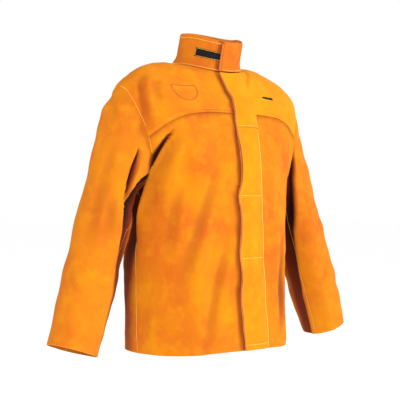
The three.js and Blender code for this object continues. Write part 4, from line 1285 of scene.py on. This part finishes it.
def flap():
    shares = stations(FLAP_WIDTH, 3.6) / FLAP_WIDTH
    place, up = flap_place(shares, hem, flap_level(-FLAP_TOP, FLAP_ROOM), FLAP_LENGTH, 4.6)
    z = place.point[..., 2]
    lift = flap_lift(shares)[None] + quilt(z) + curve_through(FREE_EDGE_LIFT, z) * shares[None] ** 4
    piece = leather("storm_flap_hide", place, shares * FLAP_WIDTH, up, lift, HIDE, FLAP_HIDE,
                    (RAW, SEWN, RAW, RAW), True)
    give(piece, "hide", None, "storm_flap")
    flap_bend(piece)
    shares = lerp(FACING_STARTS, 1, stations(FACING_WIDTH, 5) / FACING_WIDTH)
    place, up = flap_place(shares, hem, flap_level(-FLAP_TOP, FLAP_ROOM), FLAP_LENGTH, 6.5, FACING_PROUD)
    lift = flap_lift(shares)[None] - facing_depth(shares)[None] + quilt(place.point[..., 2])
    piece = leather("storm_flap_backing", place, (shares - FACING_STARTS) * FLAP_WIDTH, up, lift,
                    LINING, FLESH, (RAW, RAW, RAW, RAW))
    give(piece, "facing_hide", None, "storm_flap_facing")
    flap_bend(piece)


def upper_backing():
    """The same backing above the flap, under the yoke."""
    shares = lerp(FACING_STARTS, 1, stations(FACING_WIDTH, 5) / FACING_WIDTH)
    place, up = flap_place(shares, flap_level(-FLAP_TOP), neck_line(9), 170, 5, FACING_PROUD)
    lift = (flap_lift(shares) - facing_depth(shares))[None]
    piece = leather("upper_flap_backing", place, (shares - FACING_STARTS) * FLAP_WIDTH, up, lift,
                    LINING, FLESH, (RAW, RAW, RAW, RAW))
    give(piece, "facing_hide", "root", "upper_flap_facing")


def right_backing():
    """The strip behind the right front's edge that backs the press studs."""
    across = stations(96, 6)
    below, above = panel_rows((431, 320), 8)
    level, angle, up = panel_grid(facing_edge, under_edge, hem, ARMPIT, neck_line(9), across, below, above)
    place = on_body(level, angle)
    piece = leather("right_front_backing", place, across, up, -GAP - LINING, LINING, FLESH,
                    (RAW, RAW, RAW, RAW))
    give(piece, "facing_hide", "root", "right_front_facing")


# ---------------------------------------------------------------- press studs

STUD_BASE = HIDE + FIT
STUD_TOP = STUD_BASE + 2.7
SOCKET_PLATE = STUD_TOP + 0.3
SOCKET_TOP = SOCKET_PLATE + 0.6
SOCKET_RIM = SOCKET_TOP - 2.4
CAP_BASE = 9.5 - 3.3 + LINING + FIT
POST_TOP = -GAP - LINING - FIT
SNAP_PROFILES = {
    "cap": [(0, SOCKET_TOP + 0.4), (2, SOCKET_TOP + 0.4), (2, CAP_BASE), (6.2, CAP_BASE),
            (6.9, CAP_BASE + 0.25), (6.4, CAP_BASE + 0.6), (3.5, CAP_BASE + 0.85), (0, CAP_BASE + 0.9)],
    "socket": [(0, SOCKET_PLATE), (3.6, SOCKET_PLATE), (4.3, SOCKET_PLATE - 0.3), (4.3, SOCKET_RIM + 0.3),
               (4.7, SOCKET_RIM), (5.7, SOCKET_RIM), (6.2, SOCKET_RIM + 0.5), (6.2, SOCKET_TOP - 0.3),
               (5.6, SOCKET_TOP), (0, SOCKET_TOP)],
    "stud": [(0, STUD_BASE), (5.0, STUD_BASE), (5.4, STUD_BASE + 0.35), (5.0, STUD_BASE + 0.75),
             (3.0, STUD_BASE + 0.85), (2.7, STUD_BASE + 1.3), (3.2, STUD_BASE + 2.0), (2.7, STUD_TOP - 0.1),
             (1.6, STUD_TOP), (0, STUD_TOP)],
    "post": [(0, POST_TOP - 0.9), (3.0, POST_TOP - 0.88), (5.4, POST_TOP - 0.65), (5.9, POST_TOP - 0.3),
             (5.4, POST_TOP), (2, POST_TOP), (2, STUD_BASE - 0.4), (0, STUD_BASE - 0.4)],
}
SNAP_SIDES = 32


def turned(name, profile, centre, axis):
    """A piece turned about its own axis. The profile is a list of radius and height."""
    around = np.arange(SNAP_SIDES) * 2 * math.pi / SNAP_SIDES
    side = unit(np.cross(axis, [0, 0, 1.0]))
    other = np.cross(axis, side)
    points, rings = [], []
    for radius, height in profile:
        middle = centre + axis * height
        if radius == 0:
            rings.append([len(points)] * SNAP_SIDES)
            points.append(middle)
            continue
        rings.append(list(range(len(points), len(points) + SNAP_SIDES)))
        points += list(middle + radius * (np.outer(np.cos(around), side) + np.outer(np.sin(around), other)))
    faces = []
    for lower, upper in zip(rings, rings[1:]):
        for a in range(SNAP_SIDES):
            b = (a + 1) % SNAP_SIDES
            corners = dict.fromkeys([lower[a], upper[a], upper[b], lower[b]])
            faces.append(list(corners))
    return make_object(name, np.array(points), faces, NICKEL, {}, 40)


def snaps():
    edge = across_flap(SNAP_ACROSS)
    for i, z in enumerate(SNAP_HEIGHTS):
        level = flap_level(z)(np.array([-80.0]))
        place = on_body(level, edge(level))
        for kind, profile in SNAP_PROFILES.items():
            piece = turned(f"press_{kind}_{i + 1}", profile, place.point[0], place.normal[0])
            moving = "storm_flap" if kind in ("cap", "socket") else "root"
            give(piece, "snap_metal", moving, f"snap_{kind}_{i + 1}")


# ---------------------------------------------------------------- the collar

OUTER_LIFT = LINING + GAP
TAPE_LIFT = OUTER_LIFT + HIDE + GAP
TAB_LIFT = TAPE_LIFT + 3.0
RIM_ROLL = 3.5  # the outer leather turns in to meet the lining over this height


def degrees_round(length):
    return math.degrees(length / 86)


def tab_rise(angle):
    return TAB_LIFT * smooth((TAB_HINGE - angle) / TAB_RISE_OVER)


def collar_sheet(name, start, end, low, high, lift, thick, material, edges, pitch=4.5, corner=0,
                 declared=False):
    """A strip of the collar between two angles and two heights. corner rounds its upper far corner."""
    length = abs(end - start) / degrees_round(1)
    across = stations(length, pitch)
    angle = lerp(start, end, across / length)[None]
    away = length - across
    cut = corner - np.sqrt(np.maximum(corner**2 - np.maximum(corner - away, 0) ** 2, 0))
    up = stations(high - low, pitch)
    height = low + (up / up[-1])[:, None] * (high - low - cut)[None]
    place = on_collar(height, angle)
    return leather(name, place, across, up, lift(angle, height), thick, material, edges, declared)


def rim(height):
    """0 below the rim's roll and 1 at the top, for turning an edge in."""
    return np.clip((height - (COLLAR_HEIGHT - RIM_ROLL)) / RIM_ROLL, 0, 1) ** 2


def collar_pieces():
    outer_end = TAB_HINGE - 360 + degrees_round(0.2)
    piece = collar_sheet("collar_hide", COLLAR_RIGHT_END, outer_end, 0, COLLAR_HEIGHT,
                         lambda a, h: OUTER_LIFT - 0.5 * rim(h) + 0 * a, HIDE, NECK_HIDE,
                         (SEWN, SEWN, RAW, SEWN), declared=True)
    give(piece, "hide", "root", "collar_outer")
    piece = collar_sheet("collar_backing", COLLAR_RIGHT_END, outer_end, 1, COLLAR_HEIGHT,
                         lambda a, h: 0.45 * rim(h) + 0 * a, LINING, FLESH, (SEWN, None, RAW, SEWN), 6)
    give(piece, "facing_hide", "root", "collar_lining")
    piece = collar_sheet("collar_tab_hide", TAB_HINGE, TAB_FREE, 0.6, COLLAR_HEIGHT,
                         lambda a, h: OUTER_LIFT + tab_rise(a) - 0.5 * rim(h), HIDE, NECK_HIDE,
                         (SEWN, SEWN, SEWN, RAW), 3.5, 9, True)
    give(piece, "hide", None, "collar_tab_outer")
    bend_tab(piece)
    piece = collar_sheet("collar_tab_backing", TAB_HINGE, TAB_FREE - 1, 1.6, COLLAR_HEIGHT - 0.6,
                         lambda a, h: tab_rise(a) + 0.45 * rim(h), LINING, FLESH,
                         (SEWN, SEWN, SEWN, RAW), 4.5, 9)
    give(piece, "facing_hide", None, "collar_tab_lining")
    bend_tab(piece)
    tapes = (("collar_loop_strip", -80, -151, TAPE_LIFT, "collar_loop_tape", "root"),
             ("collar_hook_strip", -68, -101, TAB_LIFT - 1.5, "collar_hook_tape", "collar_tab"))
    for name, start, end, lift, cad_node, rides in tapes:
        piece = collar_sheet(name, start, end, *TAPE_BAND, lambda a, h: lift + 0 * (a + h), 1.0, TAPE,
                             (SEWN, SEWN, SEWN, SEWN), 3)
        give(piece, "black_tape", rides, cad_node)


def bend_tab(piece):
    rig.blend(piece, "root", "collar_tab", start=(0.0815, -0.045, 0.02), end=(0.066, -0.066, 0.02))


def collar_line(heights, angles, lift):
    place = on_collar(np.asarray(heights, float), np.asarray(angles, float))
    return place.point + place.normal * np.broadcast_to(lift, place.shade.shape)[..., None], place.normal


# ---------------------------------------------------------------- the sleeves

ARM_LENGTH = 650
BACK_TURN = (222, 242)
FRONT_TURN = {-1: (165, 112, 132), 1: (160, 156, 162)}  # at the armhole, below the biceps and at the cuff


def front_turn(t, side):
    top, middle, cuff = FRONT_TURN[side]
    t = np.maximum(t, 0)
    return lerp(lerp(top, middle, smooth((t - 0.5) / 0.9)), cuff, smooth((t - 1.55) / 0.6))


def back_turn(t):
    return lerp(BACK_TURN[0], BACK_TURN[1], np.maximum(t, 0) / 2)


def sleeve_rows(pitch):
    """t down the sleeve: a few rows under the body's leather, then even steps."""
    tucked = np.array([-1, -0.6, -0.3, -0.12, -0.03])
    down = stations(ARM_LENGTH, pitch, (1, 1)) / ARM_LENGTH * 2
    t = np.concatenate([tucked, down + 0.0005])
    distance = np.concatenate([tucked * 9, down * ARM_LENGTH / 2]) + 9
    return np.minimum(t, 2), distance


def sleeve_panel(name, cad_node, side, first, last, width, pitch):
    t, up = sleeve_rows(pitch)
    across = stations(width, pitch)
    turn = lerp(first(t)[:, None] + 0.1, last(t)[:, None] - 0.1, (across / width)[None])
    place = on_sleeve(t[:, None], turn, side)
    piece = leather(name, place, across, up, -HIDE, HIDE, ARM, (None, RAW, SEWN, SEWN), True)
    give(piece, "hide", None, cad_node)
    bend_sleeve(piece, side)


def bend_sleeve(piece, side):
    name = "left_sleeve" if side > 0 else "right_sleeve"
    start = Vector((side * 0.258, 0, -0.21))
    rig.blend(piece, "root", name, start=start, end=start + 0.1 * Vector((side * 0.985, 0, -0.174)))


def sleeves():
    for name, side in (("right", -1), ("left", 1)):
        front = lambda t: front_turn(t, side)
        sleeve_panel(f"{name}_top_sleeve_hide", f"{name}_top_sleeve", side,
                     lambda t: back_turn(t) - 360, front, 290, 3.9)
        sleeve_panel(f"{name}_under_sleeve_hide", f"{name}_under_sleeve", side, front, back_turn, 150, 5)
        t = np.linspace(0.3, 1.98, 260)
        for seam, turn in (("front", front(t) - 2.2), ("back", back_turn(t) + 2.2 - 360)):
            place = on_sleeve(t, turn, side)
            thread = THREAD if side > 0 and seam == "front" else TONE
            line = (place.point + place.normal * 0.1, place.normal)
            piece = stitches(f"{name}_sleeve_{seam}_stitches", [line], thread, radius=0.5)
            give(piece, "hide", None)
            bend_sleeve(piece, side)


# ---------------------------------------------------------------- small pieces


def hanger_strap():
    """The loop inside the back of the collar."""
    u = stations(92, 2.4) / 92
    x = lerp(-30, 30, u)
    arch = np.sin(math.pi * u)
    wall = collar(5 + 26 * arch, 90 - np.degrees(np.arcsin(x / BODY[NECK, BACK])))
    centre = np.stack([x, wall[:, 1] - 1.5 - 9 * arch, wall[:, 2]], -1)
    tangent = unit(np.gradient(centre, axis=0))
    normal = unit(np.stack([-tangent[:, 2], 0 * x, tangent[:, 0]], -1))
    up = stations(8, 2, (1, 1), (0, 0.5))
    point = centre[None] + np.array([0, -1, 0])[None, None] * up[:, None, None]
    place = Place(point, np.broadcast_to(normal[None], point.shape), np.zeros(point.shape[:2]))
    piece = leather("hanger_strap", place, u * 92, up, 0, 2.0, NECK_HIDE, (RAW, RAW, RAW, RAW))
    give(piece, "hide", "root", "hanger_loop")


def patch(name, x_range, z_range, lift, thick, material, slot, cad_node, pitch, back=False, tilt=0.0):
    """A small patch on the body: plain cloth, blank."""
    across = stations(x_range[1] - x_range[0], pitch)
    up = stations(z_range[1] - z_range[0], pitch, (1, 1), (0, 0.6))
    x = (x_range[0] + across)[None] + 0 * up[:, None]
    z = (z_range[0] + up)[:, None] + tilt * (x - x_range[0])
    level = np.full(x.shape, 5.0)
    angle = np.full(x.shape, 90.0 if back else -60.0)
    for _ in range(30):
        share = np.clip(x / chart(HALF, level), -1, 1)
        angle = np.degrees(np.arccos(power(share, chart(SQUARE, level) / 2))) * (1 if back else -1)
        point = body(level, angle)
        per_level = (body(level + 0.01, angle)[..., 2] - body(level - 0.01, angle)[..., 2]) / 0.02
        level = np.clip(level + 0.7 * (z - point[..., 2]) / per_level, 3, 6.95)
    place = on_body(level, angle)
    piece = leather(name, place, across, up, lift, thick, material, (SEWN, SEWN, SEWN, SEWN))
    give(piece, slot, "root", cad_node)


def small_pieces():
    hanger_strap()
    patch("neck_label_cloth", (-26, 26), (-44, -14), -2.5, 0.5, LABEL, "label_cloth", "neck_label", 3,
          back=True)
    patch("chest_tag_cloth", (105, 145), (-103, -96.5), HIDE + 0.9, 0.7, TAPE, "black_tape", "chest_tag", 2,
          tilt=-0.04)


def badge_outline():
    """A plain shape on the right of the chest, flat above and round below, marked in dark thread."""
    share = np.linspace(0, 1, 90)
    centre, half, deep = (-143, -79), 35, 39
    straight = 0.36  # share of the outline that is its flat top
    below = share > straight
    flat = -half + 2 * half * np.clip(share / straight, 0, 1)
    turn = math.pi * (share - straight) / 0.64
    x = centre[0] + np.where(below, half * np.cos(turn), flat)
    z = centre[1] - np.where(below, deep * np.sin(np.clip(turn, 0, math.pi)) ** 0.8, 0)
    level, angle = np.full(x.shape, 5.0), np.full(x.shape, -120.0)
    for _ in range(30):
        across = power(np.clip(x / chart(HALF, level), -1, 1), chart(SQUARE, level) / 2)
        angle = -np.degrees(np.arccos(across))
        per_level = (body(level + 0.01, angle)[:, 2] - body(level - 0.01, angle)[:, 2]) / 0.02
        level = np.clip(level + 0.7 * (z - body(level, angle)[:, 2]) / per_level, 3, 6.9)
    line = body_line(level, angle, HIDE + 0.1)
    sew("badge_outline", [line], material=MARK, pitch=2.5, length=2.7, radius=0.75)


# ---------------------------------------------------------------- all the seams' stitches

ON_PANEL = HIDE + 0.15


def seam_stitches():
    lap_top = seam_line(yoke_seam, -8.5)
    angles = np.linspace(-160, -94, 220)
    inside = angles > right_front_side(lap_top(angles)) + 1.2
    right = body_line(lap_top(angles[inside]), angles[inside], 2.0 + HIDE)
    sew("right_yoke_stitches", [right], material=TONE)
    angles = np.linspace(-70, -20, 160)
    angles = angles[angles < left_front_side(lap_top(angles)) - 1.2]
    sew("left_yoke_stitches", [body_line(lap_top(angles), angles, 2.0 + HIDE)], material=TONE)
    back_top = seam_line(back_yoke_seam, -8.5)
    angles = np.linspace(20, 160, 320)
    level = back_top(angles)
    kept = (angles > left_back_side(level) + 1.2) & (angles < right_back_side(level) - 1.2)
    sew("back_yoke_stitches", [body_line(level[kept], angles[kept], 2.0 + HIDE)])
    level = np.linspace(0.04, 2.9, 260)
    for name, angle in (("right", right_front_side(level) + 1.1), ("left", left_front_side(level) - 1.1)):
        sew(f"{name}_side_stitches", [body_line(level, angle, ON_PANEL)], radius=0.5)


def armhole_stitches():
    """They are hidden where the leather doubles over them."""
    for name, side in (("right", -1), ("left", 1)):
        lines = []
        for start in (4, 184):
            place = on_body(*armhole(np.linspace(start, start + 172, 200), side, 0.032))
            point = place.point + place.normal * (HIDE + 0.2)
            shown = np.flatnonzero(place.shade < 0.35)
            for run in np.split(shown, np.flatnonzero(np.diff(shown) > 1) + 1):
                if len(run) > 8:
                    lines.append((point[run], place.normal[run]))
        sew(f"{name}_armhole_stitches", lines, radius=0.5)


def flap_stitches():
    level = np.linspace(0.05, flap_level(-FLAP_TOP, FLAP_ROOM + 3)(-70.0), 400)
    share = 0.045
    edge = across_flap(share)
    top_level = np.linspace(flap_level(-FLAP_TOP + 2)(-70.0), yoke_line(-70.0) - 0.02, 60)
    lines = [body_line(level, edge(level), flap_lift(share) + ON_PANEL),
             body_line(top_level, edge(top_level), flap_lift(share) + ON_PANEL)]
    sew("flap_seam_stitches", lines)
    rows = []
    for z in STITCH_ROWS:
        shares = np.linspace(0.03, 0.975, 60)
        at = flap_level(z)
        angle = np.full(60, -85.0)
        for _ in range(5):
            level = at(angle)
            angle = np.array([across_flap(s)(l) for s, l in zip(shares, level)])
        rows.append(body_line(level, angle, flap_lift(shares) - 1.5 + ON_PANEL))
    piece = give(stitches("flap_row_stitches", rows), "hide", None)
    flap_bend(piece)
    shares = np.linspace(0.03, 0.975, 60)
    angle = np.full(60, -85.0)
    at = flap_level(-FLAP_TOP + 3)
    for _ in range(5):
        level = at(angle)
        angle = np.array([across_flap(s)(l) for s, l in zip(shares, level)])
    sew("yoke_end_stitches", [body_line(level, angle, flap_lift(shares) + 0.3 + ON_PANEL)])


def collar_stitches():
    round_it = np.linspace(COLLAR_RIGHT_END - 3, TAB_HINGE - 358, 420)
    top = collar_line(np.full(420, COLLAR_HEIGHT - 7.0), round_it, OUTER_LIFT + HIDE + 0.1)
    base = collar_line(np.full(420, 3.2), round_it, OUTER_LIFT + HIDE + 0.1)
    sew("collar_stitches", [top, base])
    band = (TAPE_BAND[0] + 1.6, TAPE_BAND[1] - 1.6)
    along = np.linspace(-82, -149.8, 80)
    up = np.linspace(band[0], band[1], 20)
    on_tape = TAPE_LIFT + 1.0 + 0.1
    border = [collar_line(np.full(80, h), along, on_tape) for h in band]
    border.append(collar_line(up, np.full(20, -149.8), on_tape))
    sew("tape_stitches", border, pitch=3.4, length=2.8, radius=0.5)
    across = np.linspace(TAB_HINGE - 4, TAB_FREE + 2.5, 80)
    lift = OUTER_LIFT + tab_rise(across) + HIDE + 0.1
    piece = stitches("tab_stitches", [collar_line(np.full(80, 3.6), across, lift)])
    give(piece, "hide", None)
    bend_tab(piece)


# ---------------------------------------------------------------- the set


def make_lamp(name, at, target, size, power_of, colour=(1, 1, 1)):
    data = bpy.data.lights.new(name, "AREA")
    data.shape = "DISK"
    data.size = size
    data.energy = power_of
    data.color = colour
    lamp = bpy.data.objects.new(name, data)
    bpy.context.scene.collection.objects.link(lamp)
    lamp.location = at
    lamp.rotation_euler = (Vector(target) - Vector(at)).to_track_quat("-Z", "Y").to_euler()


def make_studio():
    scene = bpy.context.scene
    scene.view_settings.view_transform = "Standard"
    world = bpy.data.worlds.new("studio")
    world.use_nodes = True
    background = world.node_tree.nodes["Background"]
    background.inputs["Color"].default_value = (1, 1, 1, 1)
    background.inputs["Strength"].default_value = 1.0
    scene.world = world
    middle = (0, 0, -0.35)
    make_lamp("key", (2.5, -2.5, 1.2), middle, 1.0, 226)
    make_lamp("fill", (-2.7, -2.1, 0.5), middle, 1.6, 165)
    make_floor()


def make_floor():
    """A wide pale floor well below the jacket, which hangs."""
    rings, sides, reach, height = 14, 48, 60.0, -1.55
    points, faces = [(0.0, 0.0, height)], []
    for r in range(1, rings + 1):
        for s in range(sides):
            turn = 2 * math.pi * s / sides
            away = reach * (r / rings) ** 2.2
            points.append((away * math.cos(turn), away * math.sin(turn), height))
    faces += [[0, 1 + s, 1 + (s + 1) % sides] for s in range(sides)]
    for r in range(rings - 1):
        a, b = 1 + r * sides, 1 + (r + 1) * sides
        faces += [[a + s, b + s, b + (s + 1) % sides, a + (s + 1) % sides] for s in range(sides)]
    mesh = bpy.data.meshes.new("floor")
    mesh.from_pydata(points, [], faces)
    material, tree, shader = new_material("floor_pale")
    at = node(tree, "ShaderNodeTexCoord").outputs["Object"]
    colour = blend_colours(tree, noise(tree, at, 3.0), (0.985, 0.985, 0.983, 1), (1.0, 1.0, 0.998, 1))
    tree.links.new(colour, shader.inputs["Base Color"])
    shader.inputs["Roughness"].default_value = 0.95
    mesh.materials.append(material)
    floor = bpy.data.objects.new("floor", mesh)
    bpy.context.scene.collection.objects.link(floor)
    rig.stage(floor)


# ---------------------------------------------------------------- build

right_panel()
left_panel()
back_panel()
right_yoke()
left_yoke()
back_yoke()
flap()
upper_backing()
right_backing()
snaps()
collar_pieces()
sleeves()
small_pieces()
badge_outline()
seam_stitches()
armhole_stitches()
flap_stitches()
collar_stitches()
make_studio()

low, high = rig.bounds()
with open("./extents.json", "w") as f:
    json.dump({"cad": [list(cad_low), list(cad_high)], "visual": [list(low), list(high)]}, f)
